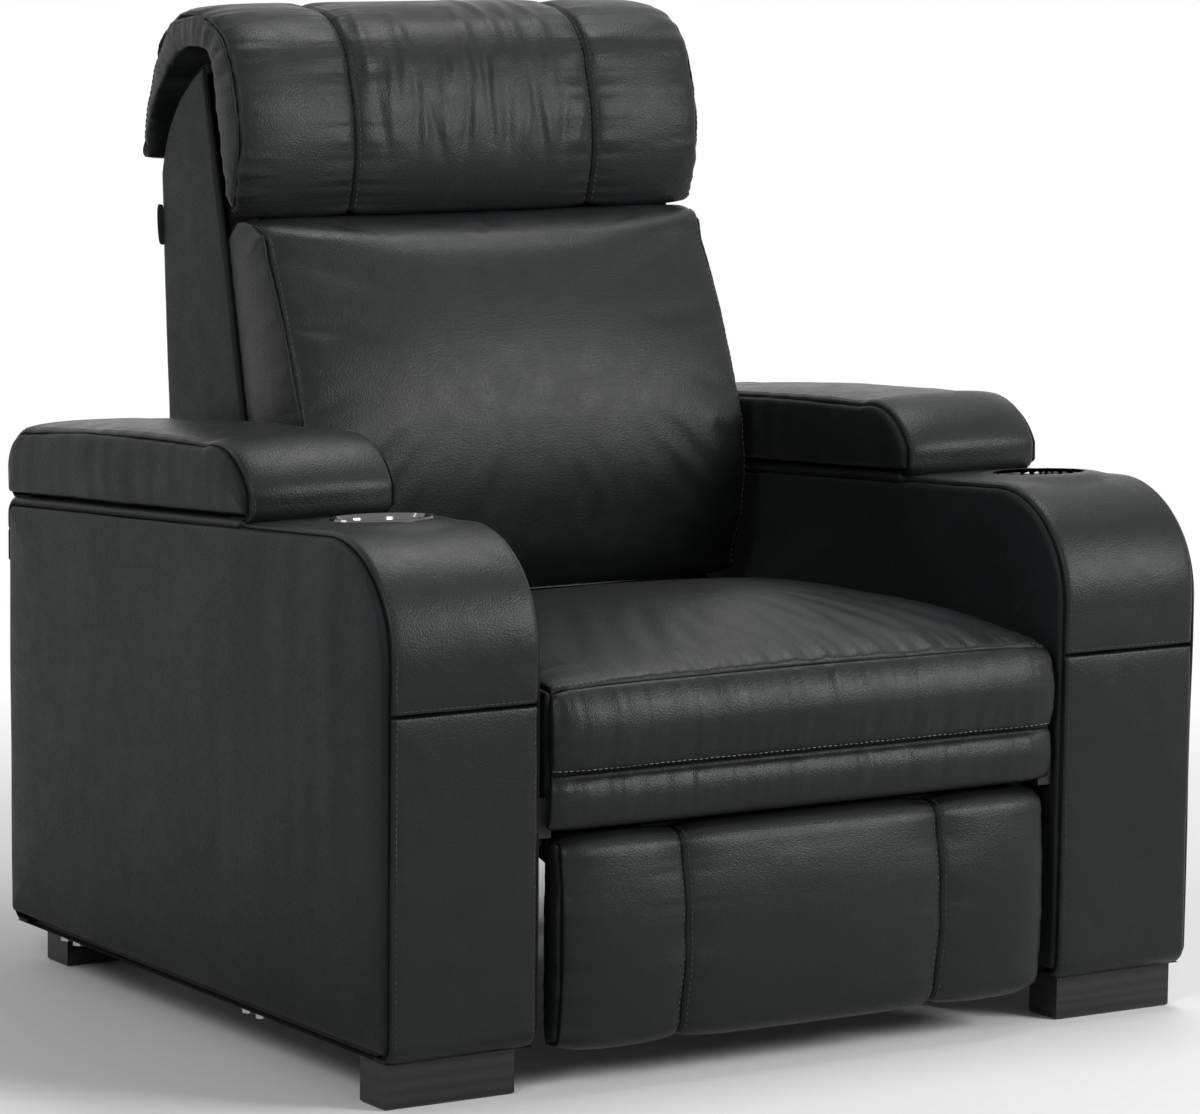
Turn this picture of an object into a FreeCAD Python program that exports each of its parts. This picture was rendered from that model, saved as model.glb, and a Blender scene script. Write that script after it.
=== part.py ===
import FreeCAD, Part
import math
import os
from FreeCAD import Vector

# A cinema recliner seat: storage arms with cup holders, folding footrest, reclining back,
# tilting headrest.  Millimetres.  +Z is up, the chair faces -Y, the sitter's left is +X.
# Outlines are written with y = 0 at the front of the arms; save() moves every piece so that
# the origin lies on the floor under the middle of the whole chair.

# Overall sizes
WIDTH = 960.0
SEAT_GAP = 619.0
ARM_DEPTH = 803.0
FRONT_MOST = -22.0
REAR_MOST = 870.4

# Arms
ARM_TOP = 545.0
ARM_ROUND = 112.0
CUT_PLAY = 0.3
ARM_FALL_DEG = 3.85
ARM_BOTTOM = 48.0
COVER_WALL = 14.0
BOARD = 15.0
SEAM_ROUND = 9.0

# Cup holders and storage
CUP_Y = 160.0
CUP_BORE = 43.0
CUP_WALL = 1.6
CUP_DEPTH = 76.0
RIM_R = CUP_BORE + 10.0
BIN_START = 312.0
BIN_END = ARM_DEPTH - 55.0
BIN_WIDTH = 104.0
BIN_DEPTH = 120.0
BIN_WALL = 2.5
FLANGE = 7.0
LID_PLAY = 0.3
LID_BOARD = 8.0
PAD_START = 276.0
PAD_HEIGHT = 64.0
PAD_CROWN = 9.0
LID_PIN_R = 3.0

# Base and mechanism
RAIL_WALL = 18.0
RAIL_LOW = 66.0
RAIL_TOP = 250.0
REAR_RAIL_TOP = 140.0
PLATE_WALL = 3.5
LAYER = 6.0
PIVOT_R = 5.0
PIVOT_PLAY = 0.06
OPEN_PLAY = 0.9
HEAD_WALL = 1.8
HEAD_EXTRA = 3.5
LINK_R = 12.5
TUBE_R = 11.0
FRONT_TUBE = (158.0, 267.0)
MIDDLE_TUBE = (455.0, 229.0)
REAR_TUBE = (640.0, 120.0)

# Footrest linkage pivots, closed position (y, z)
PLATE_FRONT = (96.0, 221.0)
PLATE_REAR = (126.0, 237.0)
REAR_LINK_END = (190.5, 97.5)
KNEE = (220.5, 113.0)
HEEL = (251.5, 119.5)
TOE_FRONT = (60.0, 237.0)
TOE_REAR = (112.5, 237.0)
TORQUE_TUBE = (215.0, 205.0)
LINK_SWING_DEG = 105.2

# Connector bolts under the right arm, and the power inlet in the rear rail
HEX_R = 8.6
INLET_X = 180.0
INLET_Z = 104.0
INLET_R = 8.0

# Drives
DRIVE_DROP = 30.0
DRIVE_HALF_STROKE = 35.0
SLOT_PLAY = 2.8
RECLINE_AXIS = (575.0, 310.0)
RECLINE_DEG = 38.0
RECLINE_LEVER = 58.0
RECLINE_PIN_R = 8.0
RECLINE_DRIVE_X = -130.0
BLOCK_HALF = 24.0
LEVER_GAP = 2.0
LEVER_WALL = 5.0

# Seat
CUSHION_HALF = SEAT_GAP / 2 - 6.5
CUSHION_EDGE = 404.0
CUSHION_CROWN = 36.0
CUSHION_BACK = 533.0
FASCIA_LOW = 262.0
FASCIA_BACK = 12.0
SOFT_PLAY = 0.3
SEAM_LOW = 311.0
CUSHION_BASE = 292.0
WEBBING = 2.0

# Footrest pad
FOOT_HALF = SEAT_GAP / 2 - 20.5
FOOT_LOW = 40.0
FOOT_TOP = 256.0
FOOT_FACE = -10.0
FOOT_BACK = 30.0
FOOT_CROWN = 12.0
FOOT_CHANNEL_X = FOOT_HALF - 137.0
CHANNEL_DEPTH = 7.0

# Back
BACK_HALF = SEAT_GAP / 2 - 29.5
SHELL_WALL = 12.0
UPRIGHT = 18.0
SHELL_FOOT = (600.0, 376.0)
SHELL_SHOULDER = (690.0, 775.0)
SHELL_APEX = (737.0, 955.0)
SHELL_REAR_TOP = (838.0, 836.0)
SHELL_REAR_LOW = (806.0, 300.0)

# Headrest
HEAD_HALF = BACK_HALF + 16.0
HEAD_AXIS = (690.0, 796.0)
HEAD_LOW = (672.0, 808.0)
HEAD_HIGH = (708.0, 962.0)
HEAD_BOARD = 12.0
HEAD_TILT_DEG = 25.0
HEAD_CHANNEL_X = HEAD_HALF / 2

# Feet
FOOT_DEPTH = 47.0
FRONT_FOOT_WIDTH = 145.0
FRONT_FOOT_SIDE = 8.3
FRONT_FOOT_SETBACK = 18.8
REAR_FOOT_SIDE = 41.0
REAR_FOOT_WIDTH = 110.0
REAR_FOOT_SETBACK = 6.0

# Control panel on the inner face of the sitter's right arm
PANEL_Y = 205.0
PANEL_Z = 474.0
PANEL_LENGTH = 112.0
PANEL_HEIGHT = 34.0
PANEL_PROUD = 2.5
BUTTON_R = 7.0
BUTTON_PLAY = 0.08
BUTTON_PITCH = 25.0
BUTTON_NAMES = ("button_recline", "button_upright", "button_headrest_up", "button_headrest_down")

CENTRE_Y = (FRONT_MOST + REAR_MOST) / 2
ARM_WIDTH = (WIDTH - SEAT_GAP) / 2
ARM_INNER = SEAT_GAP / 2
ARM_OUTER = WIDTH / 2
ARM_MIDDLE = ARM_INNER + ARM_WIDTH / 2
FALL = math.radians(ARM_FALL_DEG)
BRACKET_X = BACK_HALF - SHELL_WALL - CUT_PLAY
UPRIGHT_X = BRACKET_X - PLATE_WALL - UPRIGHT
LUG_WALL = 4.5


# Small helpers for outlines and solids
def point(x, pair):
    return Vector(x, pair[0], pair[1])


def outline(x, start, *steps):
    """Closed wire in the plane x.  A step is (y, z) for a line, or (middle, end) for an arc."""
    edges = []
    here = start
    for step in steps + (start,):
        if isinstance(step[0], tuple):
            middle, end = step
            edges.append(Part.Arc(point(x, here), point(x, middle), point(x, end)).toShape())
        else:
            end = step
            if math.dist(here, end) < 1e-6:
                continue
            edges.append(Part.LineSegment(point(x, here), point(x, end)).toShape())
        here = end
    return Part.Wire(edges)


def slab(x0, x1, start, *steps):
    """A plate between x0 and x1 with an outline in Y and Z."""
    return Part.Face(outline(x0, start, *steps)).extrude(Vector(x1 - x0, 0, 0))


def block(x0, x1, y0, y1, z0, z1):
    return Part.makeBox(x1 - x0, y1 - y0, z1 - z0, Vector(x0, y0, z0))


def rod(radius, x0, x1, centre):
    return Part.makeCylinder(radius, x1 - x0, point(x0, centre), Vector(1, 0, 0))


def loft(wires, ruled=False):
    return Part.makeLoft(wires, True, ruled)


def fuse(shapes):
    first, rest = shapes[0], shapes[1:]
    return first.multiFuse(rest).removeSplitter() if rest else first


def mirrored(shape):
    return shape.mirror(Vector(0, 0, 0), Vector(1, 0, 0))


def save(name, shape):
    """Write one named piece, with the chair's middle at y = 0."""
    shape.translated(Vector(0, -CENTRE_Y, 0)).exportStep("parts/" + name + ".step")


def save_pair(name, left):
    """Write a piece of the sitter's left side and its mirror image on the right."""
    save(name + "_left", left)
    save(name + "_right", mirrored(left))


def save_group(name, solids):
    save(name, Part.makeCompound(solids))


def edges_in_plane(shape, x, tolerance=0.01):
    """Edges that lie in the plane x and are long enough to round."""
    found = []
    for edge in shape.Edges:
        box = edge.BoundBox
        if abs(box.XMin - x) < tolerance and abs(box.XMax - x) < tolerance and edge.Length > 3:
            found.append(edge)
    return found


# Arms
def arm_corner(inset):
    """Where the front round of an arm, moved in by inset, meets the sloping top."""
    radius = ARM_ROUND - inset
    centre_z = ARM_TOP - ARM_ROUND
    return ARM_ROUND + radius * math.sin(FALL), centre_z + radius * math.cos(FALL)


def arm_top(y, inset=0.0):
    corner_y, corner_z = arm_corner(inset)
    return corner_z - (y - corner_y) * math.tan(FALL)


def arm_outline(x0, x1, inset, bottom):
    """The side form of an arm between x0 and x1, moved in by inset."""
    centre = (ARM_ROUND, ARM_TOP - ARM_ROUND)
    radius = ARM_ROUND - inset
    middle = math.radians(135 - ARM_FALL_DEG / 2)
    arc_middle = (centre[0] + radius * math.cos(middle), centre[1] + radius * math.sin(middle))
    rear = ARM_DEPTH - inset
    return slab(x0, x1, (inset, bottom), (inset, centre[1]), (arc_middle, arm_corner(inset)),
                (rear, arm_top(rear, inset)), (rear, bottom))


def on_arm_top(shape, y):
    """Place a shape, modelled about its own origin with +Z out of the arm top, at y."""
    placed = shape.copy()
    placed.rotate(Vector(0, 0, 0), Vector(1, 0, 0), -ARM_FALL_DEG)
    placed.translate(Vector(ARM_MIDDLE, y, arm_top(y)))
    return placed


def rounded_tray(width, length, depth, radius):
    """A block with rounded upright edges, its top at z = 0, starting at y = 0."""
    tray = Part.makeBox(width, length, depth, Vector(-width / 2, 0, -depth))
    uprights = [e for e in tray.Edges if abs(e.BoundBox.ZLength - depth) < 0.01]
    return tray.makeFillet(radius, uprights)


def bin_cut(extra, depth):
    length = (BIN_END - BIN_START) / math.cos(FALL)
    tray = rounded_tray(BIN_WIDTH + 2 * extra, length + 2 * extra, depth, 12.0 + extra)
    return on_arm_top(tray.translated(Vector(0, -extra, 0)), BIN_START)


def cup_hole(radius, depth, above=5.0):
    hole = Part.makeCylinder(radius, depth + above, Vector(0, 0, -depth))
    return on_arm_top(hole, CUP_Y)


def panel_pocket(play):
    """The space that the control panel fills in the sitter's right arm."""
    half_length = PANEL_LENGTH / 2 - 4 + play
    half_height = PANEL_HEIGHT / 2 - 3 + play
    return block(-ARM_INNER - 40, -ARM_INNER + 10, PANEL_Y - half_length, PANEL_Y + half_length,
                 PANEL_Z - half_height, PANEL_Z + half_height)


def arm_cover():
    cover = arm_outline(ARM_INNER, ARM_OUTER, 0.0, ARM_BOTTOM)
    seams = edges_in_plane(cover, ARM_INNER) + edges_in_plane(cover, ARM_OUTER)
    bottom = [e for e in seams if e.BoundBox.ZMax < ARM_BOTTOM + 0.01]
    cover = cover.makeFillet(SEAM_ROUND, [e for e in seams if e not in bottom])
    hollow = arm_outline(ARM_INNER + COVER_WALL, ARM_OUTER - COVER_WALL, COVER_WALL, ARM_BOTTOM - 1)
    cover = cover.cut(hollow)
    cover = cover.cut(cup_hole(CUP_BORE + CUP_WALL + CUT_PLAY, 60))
    return cover.cut(bin_cut(BIN_WALL + CUT_PLAY, 60))


def arm_frame():
    inner = ARM_INNER + COVER_WALL
    outer = ARM_OUTER - COVER_WALL
    sides = [arm_outline(inner, inner + BOARD, COVER_WALL, ARM_BOTTOM),
             arm_outline(outer - BOARD, outer, COVER_WALL, ARM_BOTTOM)]
    front = COVER_WALL
    rear = ARM_DEPTH - COVER_WALL
    low = ARM_BOTTOM
    chest_low = arm_top(BIN_END) - BIN_DEPTH - 30
    boards = [block(inner, outer, front, rear, low, low + BOARD),
              block(inner, outer, front, front + BOARD, low, ARM_TOP - ARM_ROUND),
              block(inner, outer, rear - BOARD, rear, low, arm_top(rear, COVER_WALL)),
              block(inner, outer, 230, 230 + BOARD, low, arm_top(230 + BOARD, COVER_WALL)),
              block(inner, outer, BIN_END + 12, BIN_END + 12 + BOARD, chest_low,
                    arm_top(BIN_END + 12 + BOARD, COVER_WALL))]
    shelf = slab(inner, outer, (ARM_ROUND, arm_top(ARM_ROUND, COVER_WALL)),
                 (230, arm_top(230, COVER_WALL)), (230, arm_top(230, COVER_WALL) - BOARD),
                 (ARM_ROUND, arm_top(ARM_ROUND, COVER_WALL) - BOARD))
    frame = fuse(sides + boards + [shelf])
    frame = frame.common(arm_outline(inner, outer, COVER_WALL, ARM_BOTTOM))
    for y in (300.0, 470.0, 640.0):
        frame = frame.cut(rod(45.0, inner - 1, outer + 1, (y, 200.0)))
    return frame.cut(cup_hole(CUP_BORE + CUP_WALL + CUT_PLAY, 100))


def storage_bin():
    length = (BIN_END - BIN_START) / math.cos(FALL)
    tub = rounded_tray(BIN_WIDTH + 2 * BIN_WALL, length + 2 * BIN_WALL, BIN_DEPTH, 12.0 + BIN_WALL)
    tub = tub.translated(Vector(0, -BIN_WALL, 0))
    lip = rounded_tray(BIN_WIDTH + 2 * FLANGE, length + 2 * FLANGE, 1.5, 12.0 + FLANGE)
    lip = lip.translated(Vector(0, -FLANGE, 1.5))
    hollow = rounded_tray(BIN_WIDTH, length, BIN_DEPTH - BIN_WALL + 1.5, 12.0)
    tub = tub.fuse(lip).cut(hollow.translated(Vector(0, 0, 1.5)))
    return on_arm_top(tub.removeSplitter(), BIN_START)


def cup_holder(rim_height, rim_width):
    """A turned cup with a flat floor and a bevelled rim that rests on the arm top."""
    outer = CUP_BORE + CUP_WALL
    bevel = rim_width * 0.3
    profile = [(0, -CUP_DEPTH), (CUP_BORE, -CUP_DEPTH), (CUP_BORE, 0), (RIM_R - rim_width, rim_height * 0.6),
               (RIM_R - rim_width + bevel, rim_height), (RIM_R - bevel, rim_height), (RIM_R, rim_height * 0.5),
               (RIM_R, 0), (outer, 0), (outer, -CUP_DEPTH - CUP_WALL), (0, -CUP_DEPTH - CUP_WALL)]
    wire = Part.makePolygon([Vector(r, 0, z) for r, z in profile + profile[:1]])
    cup = Part.Face(wire).revolve(Vector(0, 0, 0), Vector(0, 0, 1), 360)
    return on_arm_top(Part.Solid(cup.Shells[0]) if cup.ShapeType != "Solid" else cup, CUP_Y)


# The lid pieces are modelled with z = 0 at the arm top and y along the arm
LID_UNDER = 1.5 + LID_PLAY
PAD_UNDER = LID_UNDER + LID_BOARD + LID_PLAY
LID_AXIS = (ARM_DEPTH - CUP_Y + 9.0, 3.0)


def lid_place(shape):
    return on_arm_top(shape, CUP_Y)


def lid_board():
    start = PAD_START + 14 - CUP_Y
    end = ARM_DEPTH - CUP_Y - 6
    board = rounded_tray(ARM_WIDTH - 34, end - start, LID_BOARD, 10.0)
    return lid_place(board.translated(Vector(0, start, LID_UNDER + LID_BOARD)))


def pad_section(x, grow):
    """One lengthwise section of an arm pad; grow is 0 at the side seams and 1 in the middle."""
    low = PAD_UNDER
    top = PAD_UNDER + PAD_HEIGHT - 9 + 9 * min(1.0, 2 * grow) + PAD_CROWN * grow
    front = PAD_START - CUP_Y + 8 - 8 * grow
    rear = ARM_DEPTH - CUP_Y + 2
    length = rear - front
    bend = 0.7071
    r_front = 40.0
    r_rear = 30.0
    return outline(x, (front + 4, low),
                   ((front, low + (top - low) * 0.25), (front + 1, top - r_front)),
                   ((front + 1 + r_front * (1 - bend), top - r_front * (1 - bend)), (front + 1 + r_front, top)),
                   ((front + length * 0.5, top + 1 + 2 * grow), (rear - r_rear, top)),
                   ((rear - r_rear * (1 - bend), top - r_rear * (1 - bend)), (rear, top - r_rear)),
                   (rear - 2, low))


def arm_pad():
    half = ARM_WIDTH / 2 - 0.5
    shares = ((-1.0, 0.0), (-0.86, 0.55), (0.0, 1.0), (0.86, 0.55), (1.0, 0.0))
    return lid_place(loft([pad_section(half * s, g) for s, g in shares], True))


def lid_leaf():
    """Steel leaf on the rear edge of the lid board, rolled round the hinge pin."""
    y, z = LID_AXIS
    wall = 2.0
    width = 60.0
    knuckle = Part.makeCylinder(LID_PIN_R + wall, width, Vector(-width / 2, y, z), Vector(1, 0, 0))
    flat = Part.makeBox(width, y - (ARM_DEPTH - CUP_Y - 6), wall,
                        Vector(-width / 2, ARM_DEPTH - CUP_Y - 6, z + LID_PIN_R))
    leaf = knuckle.fuse(flat)
    bore = Part.makeCylinder(LID_PIN_R + PIVOT_PLAY, width + 2, Vector(-width / 2 - 1, y, z), Vector(1, 0, 0))
    return lid_place(leaf.cut(bore).removeSplitter())


def lid_hinge():
    """Fixed leaf on the rear of the arm with its two outer knuckles and the pin."""
    y, z = LID_AXIS
    wall = 2.0
    width = 120.0
    gap = 0.3
    inner = 30.0 + gap
    pin = Part.makeCylinder(LID_PIN_R, width, Vector(-width / 2, y, z), Vector(1, 0, 0))
    knuckles = []
    for x in (-width / 2, inner):
        knuckles.append(Part.makeCylinder(LID_PIN_R + wall, width / 2 - inner, Vector(x, y, z), Vector(1, 0, 0)))
    hinge = fuse([pin] + knuckles)
    hinge = lid_place(hinge)
    axis_y = CUP_Y + y * math.cos(FALL) + z * math.sin(FALL)
    axis_z = arm_top(CUP_Y) - y * math.sin(FALL) + z * math.cos(FALL)
    tabs = []
    for x in (ARM_MIDDLE - width / 2, ARM_MIDDLE + inner):
        tabs.append(block(x, x + width / 2 - inner, ARM_DEPTH, ARM_DEPTH + wall, axis_z - 38, axis_z))
        tabs.append(block(x, x + width / 2 - inner, ARM_DEPTH, axis_y - LID_PIN_R, axis_z - 2, axis_z))
    return fuse([hinge] + tabs)


def foot(x_outer, width, y0):
    body = block(x_outer - width, x_outer, y0, y0 + FOOT_DEPTH, 0, ARM_BOTTOM)
    lower = [e for e in body.Edges if e.BoundBox.ZMax < 0.01]
    return body.makeChamfer(2.0, lower)


def build_arms():
    cover = arm_cover()
    frame = arm_frame()
    pocket = panel_pocket(CUT_PLAY)
    save("arm_cover_left", cover)
    save("arm_cover_right", mirrored(cover).cut(pocket))
    save("arm_frame_left", frame)
    save("arm_frame_right", mirrored(frame).cut(pocket))
    save_pair("storage_bin", storage_bin())
    save("cup_holder_left", cup_holder(4.0, 6.0))
    save("cup_holder_right", mirrored(cup_holder(9.0, 8.5)))
    save_pair("lid_board", lid_board())
    save_pair("arm_pad", arm_pad())
    save_pair("lid_leaf", lid_leaf())
    hinge = lid_hinge()
    save_group("lid_hinges", [hinge, mirrored(hinge)])
    front_foot = foot(ARM_OUTER - FRONT_FOOT_SIDE, FRONT_FOOT_WIDTH, FRONT_FOOT_SETBACK)
    save_pair("front_foot", front_foot)
    rear_y = ARM_DEPTH - REAR_FOOT_SETBACK - FOOT_DEPTH
    rear_foot = foot(ARM_OUTER - REAR_FOOT_SIDE, REAR_FOOT_WIDTH, rear_y)
    save_group("rear_feet", [rear_foot, mirrored(rear_foot)])


# Base and footrest mechanism, written for the sitter's left side
PLATE_X = ARM_INNER - RAIL_WALL


def layer_x(number):
    """Outer face of a link layer; layer 0 is the side plate, higher layers lie further in."""
    return PLATE_X - number * LAYER


def link(layer, pivots, radii, holes):
    """A flat steel link: rounded arms from pivot to pivot, with a hole at each pivot."""
    x1 = layer_x(layer)
    x0 = x1 - PLATE_WALL
    arms = [rod(r, x0, x1, p) for p, r in zip(pivots, radii)]
    for a, b, r in zip(pivots, pivots[1:], radii):
        arms.append(bar(x0, x1, a, b, r))
    body = fuse(arms)
    for p, hole in zip(pivots, holes):
        if hole:
            body = body.cut(rod(hole, x0 - 1, x1 + 1, p))
    return body


def bar(x0, x1, a, b, half):
    """A straight bar of half width half between the points a and b."""
    length = math.dist(a, b)
    across = ((b[1] - a[1]) / length * half, -(b[0] - a[0]) / length * half)
    return slab(x0, x1, (a[0] + across[0], a[1] + across[1]), (b[0] + across[0], b[1] + across[1]),
                (b[0] - across[0], b[1] - across[1]), (a[0] - across[0], a[1] - across[1]))


def rivet(first_layer, last_layer, centre, radius=PIVOT_R, outer_head=True):
    """A pivot rivet through the layers, with a flat head at each free end."""
    x1 = layer_x(first_layer)
    x0 = layer_x(last_layer) - PLATE_WALL
    parts = [rod(radius, x0, x1, centre), rod(radius + HEAD_EXTRA, x0 - HEAD_WALL, x0, centre)]
    if outer_head:
        parts.append(rod(radius + HEAD_EXTRA, x1, x1 + HEAD_WALL, centre))
    return fuse(parts)


def side_plate():
    x1 = layer_x(0)
    x0 = x1 - PLATE_WALL
    plate = slab(x0, x1, (92, 205), ((76, 221), (92, 240)), (136, 282), (182, 282), (214, 246),
                 (538, 243), (552, 300), ((575, 334), (600, 305)), (618, 236), (690, 150), (690, 84),
                 (470, 84), (420, 190), (150, 205))
    hole = PIVOT_R + PIVOT_PLAY
    for centre in (PLATE_FRONT, PLATE_REAR):
        plate = plate.cut(rod(hole, x0 - 1, x1 + 1, centre))
    return plate.cut(rod(RECLINE_PIN_R + PIVOT_PLAY, x0 - 1, x1 + 1, RECLINE_AXIS))


def base_rail():
    x0 = PLATE_X
    rail = slab(x0, x0 + RAIL_WALL, (62, RAIL_LOW + 60), (62, RAIL_TOP), (ARM_DEPTH - 60, RAIL_TOP),
                (ARM_DEPTH - 60, RAIL_LOW), (122, RAIL_LOW))
    for centre in (RECLINE_AXIS, PLATE_FRONT, PLATE_REAR):
        rail = rail.cut(rod(14.0, x0 - 1, x0 + 3.0, centre))
    return rail


def cross_tube(centre):
    half = layer_x(0) - PLATE_WALL
    return rod(TUBE_R, -half, half, centre).cut(rod(TUBE_R - 1.5, -half - 1, half + 1, centre))


def connector(y):
    """A hexagon bolt with its washer under the outer edge of an arm."""
    centre = Vector(-ARM_OUTER + 26, y, ARM_BOTTOM)
    down = Vector(0, 0, -1)
    washer = Part.makeCylinder(11.0, 2.0, centre, down)
    corners = [centre + Vector(HEX_R * math.cos(k * math.pi / 3), HEX_R * math.sin(k * math.pi / 3), -2.0)
               for k in range(7)]
    head = Part.Face(Part.makePolygon(corners)).extrude(down * 9.0)
    return washer.fuse(head).removeSplitter()


def power_inlet():
    """Round low-voltage socket in the rear rail, open to the rear."""
    back = Vector(0, 1, 0)
    face = ARM_DEPTH - 42
    centre = Vector(INLET_X, face, INLET_Z)
    flange = Part.makeCylinder(11.0, 2.5, centre, back)
    barrel = Part.makeCylinder(INLET_R, 24.0, centre - back * 24, back)
    socket = flange.fuse(barrel).cut(Part.makeCylinder(5.0, 16.0, centre - back * 13, back))
    return socket.fuse(Part.makeCylinder(1.0, 20.0, centre - back * 20, back)).removeSplitter()


def build_base():
    save_pair("base_rail", base_rail())
    save_pair("side_plate", side_plate())
    save_group("cross_tubes", [cross_tube(c) for c in (FRONT_TUBE, MIDDLE_TUBE, REAR_TUBE)])
    rear_x = PLATE_X + RAIL_WALL
    rear_rail = block(-rear_x, rear_x, ARM_DEPTH - 60, ARM_DEPTH - 42, RAIL_LOW, REAR_RAIL_TOP)
    hole = Part.makeCylinder(INLET_R + 0.1, 20, Vector(INLET_X, ARM_DEPTH - 61, INLET_Z), Vector(0, 1, 0))
    save("rear_rail", rear_rail.cut(hole))
    save("power_inlet", power_inlet())
    bolts = [connector(y) for y in (290.0, 318.0, 690.0, 718.0)]
    save_group("connector_bolts", bolts)
    collar = rod(RECLINE_PIN_R + 4, BRACKET_X + CUT_PLAY, PLATE_X - PLATE_WALL, RECLINE_AXIS)
    stub = fuse([rod(RECLINE_PIN_R, BRACKET_X - 18, PLATE_X, RECLINE_AXIS), collar])
    pivots = [rivet(0, 1, PLATE_FRONT, outer_head=False), rivet(0, 3, PLATE_REAR, outer_head=False), stub]
    save_group("plate_pivots", pivots + [mirrored(p) for p in pivots])


def build_footrest():
    fit = PIVOT_R + PIVOT_PLAY
    loose = PIVOT_R + OPEN_PLAY
    radii = (LINK_R, LINK_R, LINK_R)
    save_pair("rear_link", link(1, (PLATE_FRONT, REAR_LINK_END), radii, (fit, loose)))
    save_pair("front_link", link(2, (REAR_LINK_END, KNEE, TOE_FRONT), radii, (fit, fit, fit)))
    long_link = link(3, (PLATE_REAR, KNEE, HEEL), radii, (fit, fit, fit))
    x1 = layer_x(3)
    x0 = x1 - PLATE_WALL
    ear = fuse([rod(16.0, x0, x1, TORQUE_TUBE), bar(x0, x1, TORQUE_TUBE, (176.0, 172.0), 14.0)])
    ear = ear.cut(rod(TUBE_R, x0 - 1, x1 + 1, TORQUE_TUBE))
    save_pair("long_link", fuse([long_link, ear]).cut(rod(fit, x0 - 1, x1 + 1, PLATE_REAR)))
    save_pair("ottoman_link", link(4, (HEEL, TOE_REAR), radii, (fit, loose)))
    save_pair("footrest_bracket", footrest_bracket())
    links = [rivet(2, 3, KNEE), rivet(3, 4, HEEL)]
    save_group("link_rivets", links + [mirrored(r) for r in links])
    save_group("front_link_rivets", [rivet(1, 2, REAR_LINK_END), mirrored(rivet(1, 2, REAR_LINK_END))])
    toes = [rivet(2, 5, TOE_FRONT), rivet(4, 5, TOE_REAR, outer_head=False)]
    save_group("footrest_rivets", toes + [mirrored(r) for r in toes])
    save("torque_tube", torque_tube())
    save("footrest_board", footrest_board())
    save("footrest_pad", footrest_pad())


def footrest_bracket():
    """An angle on the rear face of the footrest board that carries the two toe pivots."""
    x1 = layer_x(5)
    x0 = x1 - PLATE_WALL
    board_y = FOOT_BACK + BOARD
    web = slab(x0, x1, (board_y, 150), (board_y, 249), (TOE_REAR[0], 249),
               ((TOE_REAR[0] + 12, 237), (TOE_REAR[0], 225)), (70, 212))
    flange = block(x0 - 22, x0, board_y, board_y + PLATE_WALL, 150, 249)
    bracket = fuse([web, flange])
    for centre in (TOE_FRONT, TOE_REAR):
        bracket = bracket.cut(rod(PIVOT_R, x0 - 1, x1 + 1, centre))
    return bracket


def swing_point(radius, degrees):
    """A point at this radius from the rear plate pivot; the angle is measured from +Y."""
    angle = math.radians(degrees)
    return PLATE_REAR[0] + radius * math.cos(angle), PLATE_REAR[1] + radius * math.sin(angle)


def torque_tube():
    """Tube joining the two long links, with the slotted drive lever beside the middle."""
    half = layer_x(3)
    tube = rod(TUBE_R, -half, half, TORQUE_TUBE).cut(rod(TUBE_R - 1.5, -half - 1, half + 1, TORQUE_TUBE))
    rest = -90 + LINK_SWING_DEG / 2
    near = swing_point(DRIVE_DROP - 1, rest)
    far = swing_point(math.hypot(DRIVE_DROP, DRIVE_HALF_STROKE) + 1, rest)
    slot_half = PIVOT_R + SLOT_PLAY
    x0 = BLOCK_HALF + LEVER_GAP
    x1 = x0 + LEVER_WALL
    lever = fuse([bar(x0, x1, near, far, slot_half + 7), rod(slot_half + 7, x0, x1, near),
                  rod(slot_half + 7, x0, x1, far), bar(x0, x1, far, TORQUE_TUBE, 13.0),
                  rod(17.0, x0, x1, TORQUE_TUBE)])
    slot = fuse([bar(x0 - 1, x1 + 1, near, far, slot_half), rod(slot_half, x0 - 1, x1 + 1, near),
                 rod(slot_half, x0 - 1, x1 + 1, far)])
    lever = lever.cut(slot).cut(rod(TUBE_R, x0 - 1, x1 + 1, TORQUE_TUBE))
    return fuse([tube, lever])


def footrest_board():
    return block(-FOOT_HALF + 14, FOOT_HALF - 14, FOOT_BACK, FOOT_BACK + BOARD, FOOT_LOW + 10, FOOT_TOP - 7)


def foot_section(x, grow):
    """Upright section of the footrest pad; grow is 0 at the side edges and 1 in the middle."""
    face = FOOT_FACE + 14 * (1 - grow)
    low = FOOT_LOW + 5 * (1 - grow)
    top = FOOT_TOP - 3 * (1 - grow)
    bulge = 1 + (FOOT_CROWN - 1) * grow
    return outline(x, (FOOT_BACK, low), (face + 18, low),
                   ((face + 5, low + 5), (face, low + 20)),
                   ((face - bulge, (low + top) / 2), (face, top - 20)),
                   ((face + 5, top - 5), (face + 18, top)),
                   (FOOT_BACK, top))


def channelled_loft(section, half, channel_x, depth_share):
    """Loft across the width: full in the middle, drawn in at two sewn channels and at the ends."""
    inner = channel_x - 12
    outer = channel_x + 12
    right = [(inner, 1.0), (channel_x, 1.0 - depth_share), (outer, 0.97), (half - 12, 0.75), (half, 0.0)]
    stations = [(-x, g) for x, g in reversed(right)] + right
    return loft([section(x, g) for x, g in stations], True)


def footrest_pad():
    return channelled_loft(foot_section, FOOT_HALF, FOOT_CHANNEL_X, CHANNEL_DEPTH / 26)


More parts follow.
